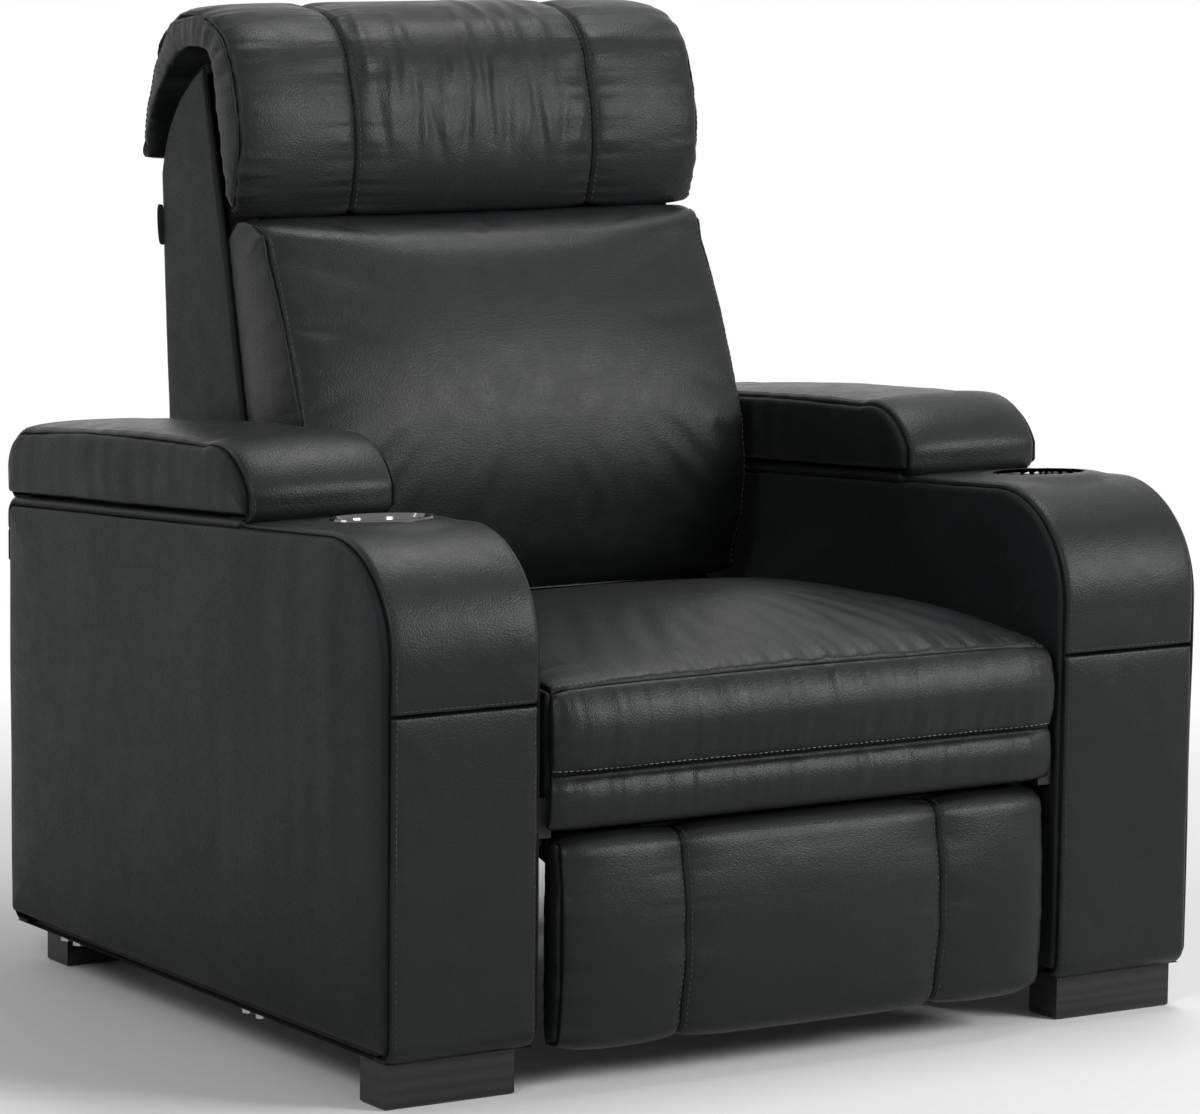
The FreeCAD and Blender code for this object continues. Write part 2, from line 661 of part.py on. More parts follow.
# Seat
def seat_section(x, grow):
    """Lengthwise section of the seat cushion; grow is 0 at the side edges and 1 in the middle."""
    top = CUSHION_EDGE - 4 * (1 - grow)
    front = -6 + 10 * (1 - grow)
    puff = 3 + 9 * grow
    crown = top + CUSHION_CROWN * grow
    return outline(x, (FASCIA_BACK, CUSHION_BASE), (FASCIA_BACK, FASCIA_LOW), (front + 4, FASCIA_LOW),
                   ((front - puff * 0.6, (FASCIA_LOW + SEAM_LOW) / 2), (front, SEAM_LOW)),
                   ((front - puff, (SEAM_LOW + top) / 2), (front + 4, top)),
                   ((240, crown), (CUSHION_BACK - 25, top - 2)),
                   ((CUSHION_BACK - 7, top - 9), (CUSHION_BACK, top - 28)),
                   (CUSHION_BACK, CUSHION_BASE))


def seat_cushion():
    shares = ((-1.0, 0.0), (-0.93, 0.5), (0.0, 1.0), (0.93, 0.5), (1.0, 0.0))
    return loft([seat_section(CUSHION_HALF * s, g) for s, g in shares], True)


def seat_frame():
    side_x = PLATE_X
    outer = PLATE_X + RAIL_WALL
    top = CUSHION_BASE - WEBBING - SOFT_PLAY
    start = FASCIA_BACK + SOFT_PLAY
    sides = [block(side_x, outer, start, 526, RAIL_TOP, top), block(-outer, -side_x, start, 526, RAIL_TOP, top)]
    front = block(-outer, outer, start, start + 16, FASCIA_LOW + 4, top)
    rear = block(-outer, outer, 508, 526, RAIL_TOP + 4, top)
    return fuse(sides + [front, rear])


def seat_webbing():
    top = CUSHION_BASE - SOFT_PLAY
    belts = []
    for x in (-210.0, -126.0, -42.0, 42.0, 126.0, 210.0):
        belts.append(block(x - 30, x + 30, FASCIA_BACK + SOFT_PLAY + 2, 525, top - WEBBING, top))
    return belts


def build_seat():
    save("seat_frame", seat_frame())
    save_group("seat_webbing", seat_webbing())
    save("seat_cushion", seat_cushion())


# Back
def shell_form(x0, x1, inset):
    """Side form of the back between x0 and x1, moved in by inset at the rear and the top."""
    front_foot, shoulder, apex = SHELL_FOOT, SHELL_SHOULDER, SHELL_APEX
    rear_top = (SHELL_REAR_TOP[0] - inset, SHELL_REAR_TOP[1] - inset * 0.4)
    rear_low = (SHELL_REAR_LOW[0] - inset, SHELL_REAR_LOW[1])
    crest = (apex[0] + 4, apex[1] - inset * 1.4)
    crest_rear = (apex[0] + 22, apex[1] + 2 - inset * 1.4)
    over = (SHELL_REAR_TOP[0] - 34 - inset * 0.8, SHELL_REAR_TOP[1] + 76 - inset * 0.8)
    return slab(x0, x1, front_foot, shoulder, (apex[0] - inset * 0.3, apex[1] - inset * 1.2),
                ((crest[0] + 6, crest[1] + 8), crest_rear), (over, rear_top), rear_low,
                (SHELL_REAR_LOW[0] - 60, SHELL_REAR_LOW[1]))


def back_shell():
    outer = shell_form(-BACK_HALF, BACK_HALF, 0.0)
    inner = shell_form(-BACK_HALF + SHELL_WALL, BACK_HALF - SHELL_WALL, SHELL_WALL)
    front = slab(-BACK_HALF + SHELL_WALL, BACK_HALF - SHELL_WALL, (560, 300), (660, 775), (700, 900),
                 (760, 900), (760, 300))
    return outer.cut(fuse([inner, front]))


def back_frame():
    """Two plywood uprights, three cross rails, and the recline arms with their torque tube."""
    half = BRACKET_X
    bracket_wall = PLATE_WALL
    side = shell_form(UPRIGHT_X, half - bracket_wall, SHELL_WALL + CUT_PLAY)
    front_cut = slab(0, half, (560, 300), (607, 376), (699, 775), (745, 945), (600, 960))
    side = side.cut(front_cut)
    inside = UPRIGHT_X
    rails = [block(-inside, inside, 640, 660, 400, 450), block(-inside, inside, 692, 712, 600, 650),
             block(-inside, inside, 740, 760, 790, 850)]
    x1 = half
    x0 = half - bracket_wall
    arm = fuse([rod(18.0, x0, x1, RECLINE_AXIS), bar(x0, x1, RECLINE_AXIS, (668, 470), 17.0),
                bar(x0, x1, (668, 470), (704, 600), 14.0), rod(17.0, x0, x1, (668, 470))])
    lug = fuse([rod(12.0, UPRIGHT_X - LUG_WALL, UPRIGHT_X, HEAD_AXIS),
                bar(UPRIGHT_X - LUG_WALL, UPRIGHT_X, HEAD_AXIS, (730, 782), 11.0)])
    stud = rod(PIVOT_R, UPRIGHT_X - LUG_WALL - PLATE_WALL - 2, UPRIGHT_X, HEAD_AXIS)
    lug = lug.fuse(stud)
    pieces = [side, mirrored(side), arm, mirrored(arm), lug, mirrored(lug)] + rails
    tube = rod(TUBE_R, -x0, x0, RECLINE_AXIS)
    frame = fuse(pieces + [tube, recline_lever()])
    bore = RECLINE_PIN_R + PIVOT_PLAY
    for x0, x1 in ((half - 19, half + 1), (-half - 1, 19 - half)):
        frame = frame.cut(rod(bore, x0, x1, RECLINE_AXIS))
    return frame


def recline_lever():
    """Lever under the recline tube; its slotted end takes the recline drive's pin."""
    rest = math.radians(-90 + RECLINE_DEG / 2)
    end = (RECLINE_AXIS[0] + RECLINE_LEVER * math.cos(rest), RECLINE_AXIS[1] + RECLINE_LEVER * math.sin(rest))
    x0 = RECLINE_DRIVE_X + BLOCK_HALF + LEVER_GAP
    x1 = x0 + LEVER_WALL
    lever = fuse([bar(x0, x1, RECLINE_AXIS, end, 13.0), rod(15.0, x0, x1, end), rod(16.0, x0, x1, RECLINE_AXIS)])
    return lever.cut(rod(PIVOT_R + SLOT_PLAY, x0 - 1, x1 + 1, end))


def shell_front(z):
    """The front edge of the back shell at height z, less the soft play."""
    share = (z - SHELL_FOOT[1]) / (SHELL_SHOULDER[1] - SHELL_FOOT[1])
    return SHELL_FOOT[0] + share * (SHELL_SHOULDER[0] - SHELL_FOOT[0]) - SOFT_PLAY, z


def back_section(x, grow):
    """Upright section of the back cushion; grow is 0 at the side seams and 1 in the middle."""
    give = 14 * (1 - grow)
    return outline(x, shell_front(402), (548 + give, 402),
                   ((534 + give, 408), (530 + give, 424)),
                   ((512 + give - 3 * grow, 520), (524 + give, 600)),
                   ((561 + give - 3 * grow, 690), (606 + give, 771)),
                   ((613 + give * 0.8, 789 - give * 0.4), (630 + give * 0.6, 795 - give * 0.6)),
                   (652, 786 - give * 0.3), shell_front(770 - give * 0.3))


def back_cushion():
    half = BACK_HALF - 0.5
    shares = ((-1.0, 0.0), (-0.95, 0.8), (0.0, 1.0), (0.95, 0.8), (1.0, 0.0))
    return loft([back_section(half * s, g) for s, g in shares], True)


def build_back():
    save("back_frame", back_frame())
    save("back_shell", back_shell())
    save("back_cushion", back_cushion())


# Headrest
def head_line(share, depth):
    """A point on the headrest's inner line, moved to the rear by depth."""
    run = HEAD_HIGH[0] - HEAD_LOW[0], HEAD_HIGH[1] - HEAD_LOW[1]
    length = math.hypot(*run)
    return (HEAD_LOW[0] + run[0] * share + run[1] / length * depth,
            HEAD_LOW[1] + run[1] * share - run[0] / length * depth)


def headrest_board():
    """Board behind the headrest's front pad, with two steel hinge ears on its rear face."""
    front = SOFT_PLAY
    rear = SOFT_PLAY + HEAD_BOARD
    half = HEAD_HALF - 24
    board = slab(-half, half, head_line(0.04, front), head_line(0.97, front), head_line(0.97, rear),
                 head_line(0.04, rear))
    x1 = UPRIGHT_X - LUG_WALL - SOFT_PLAY
    x0 = x1 - PLATE_WALL
    ear = fuse([rod(12.0, x0, x1, HEAD_AXIS), bar(x0, x1, HEAD_AXIS, head_line(0.45, rear - 3), 9.0)])
    ear = ear.cut(rod(PIVOT_R + PIVOT_PLAY, x0 - 1, x1 + 1, HEAD_AXIS))
    return fuse([board, ear, mirrored(ear)])


def head_section(x, grow):
    """Upright section of the saddle-shaped headrest pad."""
    give = 8 * (1 - grow)
    return outline(x, HEAD_LOW, ((664, 801 + give), (655 + give, 806 + give)),
                   ((640 + give * 1.5, 880), (653 + give * 1.5, 948)),
                   ((683 + give, 1002 - give), (736, 1021 - give * 1.5)),
                   ((806, 1009 - give * 1.5), (848 - give, 950)),
                   ((866 - give, 900), (870 - give * 0.5, 866)),
                   ((862, 850), (847, 853)),
                   ((837, 899), (809, 938)),
                   ((770, 971), (724, 975)),
                   ((714, 970), HEAD_HIGH))


def headrest_pad():
    inner = HEAD_CHANNEL_X - 12
    outer = HEAD_CHANNEL_X + 12
    right = [(inner, 1.0), (HEAD_CHANNEL_X, 0.35), (outer, 0.95), (HEAD_HALF - 14, 0.7), (HEAD_HALF, -0.3)]
    stations = [(-x, g) for x, g in reversed(right)] + right
    return loft([head_section(x, g) for x, g in stations], True)


def build_headrest():
    save("headrest_board", headrest_board())
    save("headrest_pad", headrest_pad())


# Drives
def drive(x, head, rail, z):
    """Linear drive: gear head with its motor can, and a grooved rail towards the slider."""
    head_y0, head_y1 = head
    rail_y0, rail_y1 = rail
    gear = block(x - 26, x + 26, head_y0, head_y1, z - 14, z + 34)
    uprights = [e for e in gear.Edges if abs(e.BoundBox.ZLength - 48) < 0.01]
    gear = gear.makeFillet(8.0, uprights)
    motor = Part.makeCylinder(19.0, 62, Vector(x, (head_y0 + head_y1) / 2, z - 76), Vector(0, 0, 1))
    motor = motor.makeChamfer(3.0, [e for e in motor.Edges if e.BoundBox.ZMax < z - 75])
    beam = block(x - 15, x + 15, rail_y0, rail_y1, z, z + 22)
    for side in (-1, 1):
        groove = block(x + side * 15 - 4, x + side * 15 + 4, rail_y0 - 1, rail_y1 + 1, z + 8, z + 14)
        beam = beam.cut(groove)
    return fuse([gear, motor, beam])


def slider(x, y, rail_z, pin_z):
    """Drive block that runs on the rail and carries the pin for the lever."""
    play = 0.3
    low = min(rail_z, pin_z) - 12
    high = max(rail_z + 20, pin_z + 11)
    body = block(x - BLOCK_HALF, x + BLOCK_HALF, y - 22, y + 22, low, high)
    beam = block(x - 15 - play, x + 15 + play, y - 23, y + 23, rail_z - play, max(high, rail_z + 22) + 1)
    body = body.cut(beam)
    pin = rod(PIVOT_R, x + 15 + play, x + BLOCK_HALF + LEVER_GAP + LEVER_WALL + 3, (y, pin_z))
    return fuse([body, pin])


def build_drives():
    z = PLATE_REAR[1] - DRIVE_DROP + 12
    foot_drive = drive(0.0, (352.0, 430.0), (76.0, 352.0), z)
    hanger = block(-9, 9, FRONT_TUBE[0] - 14, FRONT_TUBE[0] + 14, z + 22, FRONT_TUBE[1])
    hanger = hanger.cut(rod(TUBE_R + 0.05, -10, 10, FRONT_TUBE))
    clevis = block(-18, 18, 430.0, MIDDLE_TUBE[0] + 14, MIDDLE_TUBE[1] - 14, MIDDLE_TUBE[1] + 14)
    clevis = clevis.cut(rod(TUBE_R + 0.05, -19, 19, MIDDLE_TUBE))
    save("footrest_drive", fuse([foot_drive, hanger, clevis]))
    start = PLATE_REAR[0] + DRIVE_HALF_STROKE
    save("footrest_slider", slider(0.0, start, z, PLATE_REAR[1] - DRIVE_DROP))
    rail_z = MIDDLE_TUBE[1] - TUBE_R - 28
    x = RECLINE_DRIVE_X
    back_drive = drive(x, (362.0, 440.0), (440.0, 628.0), rail_z)
    clamp = block(x - 18, x + 18, MIDDLE_TUBE[0] - 15, MIDDLE_TUBE[0] + 14, rail_z + 22, MIDDLE_TUBE[1] + 14)
    clamp = clamp.cut(rod(TUBE_R + 0.05, x - 19, x + 19, MIDDLE_TUBE))
    save("recline_drive", fuse([back_drive, clamp]))
    rest = math.radians(RECLINE_DEG / 2)
    pin_y = RECLINE_AXIS[0] + RECLINE_LEVER * math.sin(rest)
    pin_z = RECLINE_AXIS[1] - RECLINE_LEVER * (1 + math.cos(rest)) / 2
    save("recline_slider", slider(x, pin_y, rail_z, pin_z))


# Controls
def button_y(index):
    return PANEL_Y + (index - 1.5) * BUTTON_PITCH


def control_panel():
    face = -ARM_INNER
    half_length = PANEL_LENGTH / 2
    half_height = PANEL_HEIGHT / 2
    bezel = block(face, face + PANEL_PROUD, PANEL_Y - half_length, PANEL_Y + half_length,
                  PANEL_Z - half_height, PANEL_Z + half_height)
    along = [e for e in bezel.Edges if abs(e.BoundBox.XLength - PANEL_PROUD) < 0.01]
    bezel = bezel.makeFillet(10.0, along)
    body = block(face - 26, face, PANEL_Y - half_length + 4, PANEL_Y + half_length - 4,
                 PANEL_Z - half_height + 3, PANEL_Z + half_height - 3)
    panel = bezel.fuse(body)
    for index in range(len(BUTTON_NAMES)):
        centre = (button_y(index), PANEL_Z)
        panel = panel.cut(rod(BUTTON_R + BUTTON_PLAY, face - 8, face + PANEL_PROUD + 1, centre))
        panel = panel.cut(rod(BUTTON_R + 2, face - 14, face - 6, centre))
    return panel.removeSplitter()


def button(index):
    face = -ARM_INNER
    centre = (button_y(index), PANEL_Z)
    cap = rod(BUTTON_R, face - 8, face + PANEL_PROUD + 1.8, centre)
    cap = cap.makeChamfer(0.8, [e for e in cap.Edges if e.BoundBox.XMin > face + PANEL_PROUD + 1.7])
    flange = rod(BUTTON_R + 1.6, face - 8.5, face - 6.2, centre)
    return cap.fuse(flange).removeSplitter()


def build_controls():
    save("control_panel", control_panel())
    for index, name in enumerate(BUTTON_NAMES):
        save(name, button(index))


os.makedirs("parts", exist_ok=True)
build_arms()
build_base()
build_footrest()
build_seat()
build_back()
build_headrest()
build_drives()
build_controls()
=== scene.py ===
import math
import bpy
import numpy as np
from mathutils import Matrix, Vector, noise
from mathutils.bvhtree import BVHTree
from mathutils.kdtree import KDTree

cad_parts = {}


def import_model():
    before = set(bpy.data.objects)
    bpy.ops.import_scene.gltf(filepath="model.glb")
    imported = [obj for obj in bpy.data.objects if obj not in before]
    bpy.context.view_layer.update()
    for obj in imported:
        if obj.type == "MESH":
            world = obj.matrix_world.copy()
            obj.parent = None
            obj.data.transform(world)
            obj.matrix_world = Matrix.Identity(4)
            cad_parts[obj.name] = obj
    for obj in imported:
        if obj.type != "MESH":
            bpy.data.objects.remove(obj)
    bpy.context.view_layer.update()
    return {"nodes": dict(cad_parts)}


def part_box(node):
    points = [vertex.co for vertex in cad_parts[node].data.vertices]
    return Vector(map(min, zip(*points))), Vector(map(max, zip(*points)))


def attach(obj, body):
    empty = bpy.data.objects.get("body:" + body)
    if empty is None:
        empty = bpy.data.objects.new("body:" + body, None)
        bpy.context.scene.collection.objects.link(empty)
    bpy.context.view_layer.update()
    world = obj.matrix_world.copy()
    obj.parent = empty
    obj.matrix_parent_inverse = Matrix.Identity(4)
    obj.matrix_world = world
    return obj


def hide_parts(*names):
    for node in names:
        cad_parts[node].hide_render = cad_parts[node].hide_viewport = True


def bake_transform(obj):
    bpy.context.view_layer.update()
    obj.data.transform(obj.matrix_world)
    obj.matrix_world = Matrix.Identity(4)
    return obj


# Looks of the cinema recliner seat.  Shapes are written in millimetres, with x = 0 in the
# middle, y = 0 at the front of the arms and z = 0 on the floor; at() turns them into the frame.
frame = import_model()
nodes = frame["nodes"]
scene = bpy.context.scene

ARM_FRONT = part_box("arm_cover_left")[0].y
ARM_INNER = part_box("arm_cover_left")[0].x * 1000
ARM_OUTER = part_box("arm_cover_left")[1].x * 1000
ARM_DEPTH = (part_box("arm_cover_left")[1].y - ARM_FRONT) * 1000
ARM_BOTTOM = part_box("arm_cover_left")[0].z * 1000
ARM_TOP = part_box("arm_cover_left")[1].z * 1000
ARM_ROUND = 112.0
ARM_FALL = math.radians(3.85)
ARM_MIDDLE = (ARM_INNER + ARM_OUTER) / 2
CUP_Y = 160.0
BAND_SEAM_Z = 383.0
SIDES = (("left", 1), ("right", -1))


def at(x, y, z):
    return Vector((x / 1000, ARM_FRONT + y / 1000, z / 1000))


def to_frame(points):
    """An array of points in chair millimetres, turned into the frame's metres."""
    return np.asarray(points, float) / 1000 + np.array([0.0, ARM_FRONT, 0.0])


# Outlines in the plane of Y and Z
def arc_points(start, middle, end, step):
    """Points on the circular arc through three points, without its start."""
    (ax, ay), (bx, by), (cx, cy) = start, middle, end
    d = 2 * (ax * (by - cy) + bx * (cy - ay) + cx * (ay - by))
    a2, b2, c2 = ax * ax + ay * ay, bx * bx + by * by, cx * cx + cy * cy
    ux = (a2 * (by - cy) + b2 * (cy - ay) + c2 * (ay - by)) / d
    uy = (a2 * (cx - bx) + b2 * (ax - cx) + c2 * (bx - ax)) / d
    radius = math.hypot(ax - ux, ay - uy)
    first = math.atan2(ay - uy, ax - ux)
    turn_mid = (math.atan2(by - uy, bx - ux) - first) % (2 * math.pi)
    turn = (math.atan2(cy - uy, cx - ux) - first) % (2 * math.pi)
    if turn_mid > turn:
        turn -= 2 * math.pi
    count = max(2, int(abs(turn) * radius / step))
    angles = [first + turn * k / count for k in range(1, count + 1)]
    return [(ux + radius * math.cos(angle), uy + radius * math.sin(angle)) for angle in angles]


def line_through(start, *steps, spacing=3.0):
    """Even points along lines, given by their end, and arcs, given by (middle, end)."""
    points = [start]
    for step in steps:
        if isinstance(step[0], tuple):
            points += arc_points(points[-1], step[0], step[1], 1.0)
        else:
            points.append(step)
    return resample(points, spacing)


def resample(points, spacing):
    """The same line with evenly spaced points; works in two and three dimensions."""
    points = np.asarray(points, float)
    along = run_lengths(points)
    count = max(2, int(round(along[-1] / spacing)))
    targets = np.linspace(0, along[-1], count + 1)
    return interpolated(points, along, targets)


def interpolated(points, along, targets):
    return np.stack([np.interp(targets, along, points[:, k]) for k in range(points.shape[1])], axis=1)


def run_lengths(line):
    """How far along the line each of its points lies."""
    return np.concatenate([[0], np.cumsum(np.linalg.norm(np.diff(line, axis=0), axis=1))])


def outward(line):
    """Unit normals on the left of a line's direction."""
    tangent = np.gradient(line, axis=0)
    tangent /= np.linalg.norm(tangent, axis=1)[:, None]
    return np.stack([-tangent[:, 1], tangent[:, 0]], axis=1)


def placed(x, line):
    """A line in Y and Z, put at a place across the chair."""
    return np.column_stack([np.full(len(line), x), line])


# Meshes
def new_object(name, vertices, faces):
    mesh = bpy.data.meshes.new(name)
    mesh.from_pydata([tuple(v) for v in vertices], [], [tuple(f) for f in faces])
    mesh.update()
    obj = bpy.data.objects.new(name, mesh)
    scene.collection.objects.link(obj)
    mesh.polygons.foreach_set("use_smooth", np.ones(len(mesh.polygons), bool))
    return obj


def grid_faces(rows, columns, flip=False):
    """Quads between neighbouring rows of points."""
    index = np.arange(rows * columns).reshape(rows, columns)
    corners = (index[:-1, :-1], index[:-1, 1:], index[1:, 1:], index[1:, :-1])
    quads = np.stack(corners, axis=-1).reshape(-1, 4)
    return quads[:, ::-1] if flip else quads


def coordinates(obj):
    found = np.empty(len(obj.data.vertices) * 3, np.float32)
    obj.data.vertices.foreach_get("co", found)
    return found.reshape(-1, 3).astype(float)


def set_coordinates(obj, points):
    obj.data.vertices.foreach_set("co", np.asarray(points, np.float32).ravel())
    obj.data.update()


def vertex_normals(obj):
    found = np.empty(len(obj.data.vertices) * 3, np.float32)
    obj.data.vertex_normals.foreach_get("vector", found)
    return found.reshape(-1, 3).astype(float)


def set_attribute(obj, name, values):
    attribute = obj.data.attributes.get(name) or obj.data.attributes.new(name, "FLOAT", "POINT")
    attribute.data.foreach_set("value", np.asarray(values, np.float32))


def apply_modifiers(obj):
    """Keep the evaluated mesh and drop the modifiers."""
    graph = bpy.context.evaluated_depsgraph_get()
    mesh = bpy.data.meshes.new_from_object(obj.evaluated_get(graph))
    old = obj.data
    obj.modifiers.clear()
    obj.data = mesh
    bpy.data.meshes.remove(old)
    mesh.polygons.foreach_set("use_smooth", np.ones(len(mesh.polygons), bool))


def join(name, objects):
    """One object from several meshes, with their attributes."""
    with bpy.context.temp_override(active_object=objects[0], selected_editable_objects=objects):
        bpy.ops.object.join()
    objects[0].name = name
    return objects[0]


def value_noise(points, size, seed=0.0):
    """Smooth noise from -1 to 1 for points in metres; size is the feature size in metres."""
    shift = Vector((seed * 7.31, seed * 3.17, seed * 1.73))
    return np.array([noise.noise(Vector(p) / size + shift) for p in points])


def row_noise(values, seed):
    """Smooth one-dimensional noise from -1 to 1."""
    return np.array([noise.noise(Vector((v, seed * 5.7, seed * 2.3))) for v in values])


def distance_to(points, line):
    """For each point: distance to the nearest point of the line, and that point's index."""
    tree = KDTree(len(line))
    for k, p in enumerate(line):
        tree.insert(Vector(p), k)
    tree.balance()
    found = [tree.find(Vector(p)) for p in points]
    return np.array([f[2] for f in found]), np.array([f[1] for f in found])


# Sewn panels: strips along an outline, and the flat panels that close its sides
PANEL_STEP = 4.0
NEAR_SEAM = (0.0, 0.7, 1.5, 2.5, 3.8, 5.5, 8.0)
DIAGONAL = 0.293
SHARP = 0.01


def corner_drop(distance, radius, groove, reach=2.6):
    """How far a panel falls back near a seam: round as far as the diagonal, then into the seam."""
    inside = np.clip(radius - distance, 0, radius)
    drop = radius - np.sqrt(np.maximum(radius ** 2 - inside ** 2, 0))
    return drop + groove * np.clip(1 - (distance - DIAGONAL * radius) / reach, 0, 1) ** 2


def spaced(length, corner, step=PANEL_STEP):
    """Places from seam to seam, close together beside both seams."""
    near = np.array(NEAR_SEAM) + DIAGONAL * corner
    middle = np.linspace(near[-1], length - near[-1], max(3, int((length - 2 * near[-1]) / step)))
    return np.concatenate([near[:-1], middle, length - near[-2::-1]])


def strip(name, line, x0, x1, corner, puff, groove=2.2, hole=None):
    """A panel that follows a line in Y and Z from x0 to x1, with a seam on all four sides."""
    lengths = run_lengths(line)
    us, vs = spaced(x1 - x0, corner), spaced(lengths[-1], 0.0)
    place, normal = (interpolated(values, lengths, vs) for values in (line, outward(line)))
    side = np.minimum(us, (x1 - x0) - us)[None, :]
    end = np.minimum(vs, lengths[-1] - vs)[:, None]
    height = puff(np.minimum(side, end))
    height = height - corner_drop(side, corner, groove) - corner_drop(end, SHARP, groove)
    y = place[:, 0][:, None] + normal[:, 0][:, None] * height
    z = place[:, 1][:, None] + normal[:, 1][:, None] * height
    x = np.broadcast_to(x0 + us, y.shape)
    points = np.stack([x, y, z], axis=-1).reshape(-1, 3)
    faces = grid_faces(len(vs), len(us), flip=True)
    if hole is not None:
        inside = hole(points)
        faces = faces[~inside[faces].all(axis=1)]
    obj = new_object(name, to_frame(points), faces)
    paint_seam_shade(obj, np.minimum(np.broadcast_to(side - DIAGONAL * corner, y.shape), end).ravel())
    return obj


def paint_seam_shade(obj, distance):
    """Keep how near each point lies to a seam, for the painted shade that darkens the leather along its
    seam lines, and for their duller gloss.
    """
    set_attribute(obj, "seam", np.exp(-(np.maximum(distance, 0) / 1.4) ** 2))


def side_panel(name, left, top, right, bottom, x, side, corner, puff, groove=2.2, count=(150, 110)):
    """A flat panel between four lines that share corners; side is +1 or -1 for the way it faces."""
    def even(n):
        t = np.linspace(0, 1, n)
        return t - 0.72 * np.sin(2 * math.pi * t) / (2 * math.pi)

    def sampled(line, t):
        lengths = run_lengths(line)
        return interpolated(line, lengths, t * lengths[-1])

    def inset(line, sign=1):
        return line - outward(line) * sign * DIAGONAL * corner

    s, t = even(count[0]), even(count[1])
    outline = np.concatenate([left, top, right, bottom])
    left, top, right, bottom = inset(left), inset(top), inset(right, -1), inset(bottom, -1)
    bottom[0], bottom[-1] = left[0], right[0]
    a, b, c, d = sampled(left, t), sampled(right, t), sampled(bottom, s), sampled(top, s)
    s2, t2 = s[None, :, None], t[:, None, None]
    grid = ((1 - s2) * a[:, None] + s2 * b[:, None] + (1 - t2) * c[None] + t2 * d[None]
            - (1 - s2) * (1 - t2) * c[0] - s2 * (1 - t2) * c[-1] - (1 - s2) * t2 * d[0] - s2 * t2 * d[-1])
    flat = grid.reshape(-1, 2)
    edge = np.concatenate([flat, np.zeros((len(flat), 1))], axis=1)
    border = np.concatenate([outline, np.zeros((len(outline), 1))], axis=1)
    distance, _ = distance_to(edge, border)
    height = puff(distance) - corner_drop(distance, corner, groove)
    points = np.stack([x + side * height, flat[:, 0], flat[:, 1]], axis=1)
    obj = new_object(name, to_frame(points), grid_faces(len(t), len(s), flip=side < 0))
    paint_seam_shade(obj, distance - DIAGONAL * corner)
    return obj


def mirror(obj):
    points = coordinates(obj)
    points[:, 0] *= -1
    set_coordinates(obj, points)
    obj.data.flip_normals()
    return obj


def relief(obj, height):
    """Move each point along its normal by height(points), in millimetres."""
    points = coordinates(obj)
    set_coordinates(obj, points + vertex_normals(obj) * height(points)[:, None] / 1000)


# Soft forms: closed sections across the width, remeshed, inflated as cloth, then sewn
def loop(start, *steps):
    """A closed section with the same number of points whatever its size."""
    points = [start]
    for step in steps + (start,):
        here = points[-1]
        if isinstance(step[0], tuple):
            arc = np.array([here] + arc_points(here, step[0], step[1], 0.5))
            points += [tuple(p) for p in resample_to(arc, 14)[1:]]
        else:
            points += [tuple(p) for p in np.linspace(here, step, 7)[1:]]
    return np.array(points[:-1])


def resample_to(points, count):
    along = run_lengths(points)
    return interpolated(points, along, np.linspace(0, along[-1], count))


def lofted(name, section, stations):
    """A closed form through the sections at these places across the chair."""
    loops = [section(x) for x in stations]
    count = len(loops[0])
    points = np.concatenate([placed(x, ring) for x, ring in zip(stations, loops)])
    faces = []
    for k in range(len(stations) - 1):
        for i in range(count):
            j = (i + 1) % count
            faces.append((k * count + i, k * count + j, (k + 1) * count + j, (k + 1) * count + i))
    faces.append(tuple(range(count))[::-1])
    last = (len(stations) - 1) * count
    faces.append(tuple(range(last, last + count)))
    return new_object(name, to_frame(points), faces)


def remesh(obj, voxel):
    modifier = obj.modifiers.new("Remesh", "REMESH")
    modifier.mode = "VOXEL"
    modifier.voxel_size = voxel / 1000
    smooth = obj.modifiers.new("Smooth", "SMOOTH")
    smooth.iterations = 3
    apply_modifiers(obj)


PRESSURE = 4.0
SWELL_CAP = 11.0


def inflate(obj, seams, held):
    """Cloth simulation that fills the pad between its seams; seams and held points stay put."""
    rest = coordinates(obj)
    weight = held(rest * 1000 - np.array([0, ARM_FRONT * 1000, 0])).astype(float)
    for line in seams:
        distance, _ = distance_to(rest, line)
        weight = np.maximum(weight, np.clip(1.3 - distance * 1000 / 9, 0, 1))
    group = obj.vertex_groups.new(name="held")
    for level in range(1, 11):
        chosen = np.nonzero(np.round(weight * 10) == level)[0]
        group.add([int(i) for i in chosen], level / 10, "REPLACE")
    cloth = obj.modifiers.new("Cloth", "CLOTH")
    settings = cloth.settings
    settings.quality = 4
    settings.mass = 0.4
    settings.tension_stiffness = 22
    settings.compression_stiffness = 18
    settings.bending_stiffness = 6
    settings.use_pressure = True
    settings.uniform_pressure_force = PRESSURE
    settings.effector_weights.gravity = 0
    settings.vertex_group_mass = "held"
    settings.shrink_min = 0.0
    for number in range(1, 21):
        scene.frame_set(number)
    apply_modifiers(obj)
    moved = coordinates(obj) - rest
    length = np.linalg.norm(moved, axis=1) + 1e-9
    set_coordinates(obj, rest + moved * np.minimum(1, SWELL_CAP / 1000 / length)[:, None])
    scene.frame_set(1)
    obj.vertex_groups.clear()


def subdivide(obj):
    obj.modifiers.new("Subdivision", "SUBSURF").levels = 1
    apply_modifiers(obj)


def projected(obj, points):
    """The nearest points of a piece's surface, and the normals there."""
    corners = [v.co for v in obj.data.vertices]
    tree = BVHTree.FromPolygons(corners, [p.vertices for p in obj.data.polygons])
    found = [tree.find_nearest(Vector(p)) for p in points]
    return np.array([f[0] for f in found]), np.array([f[1] for f in found])


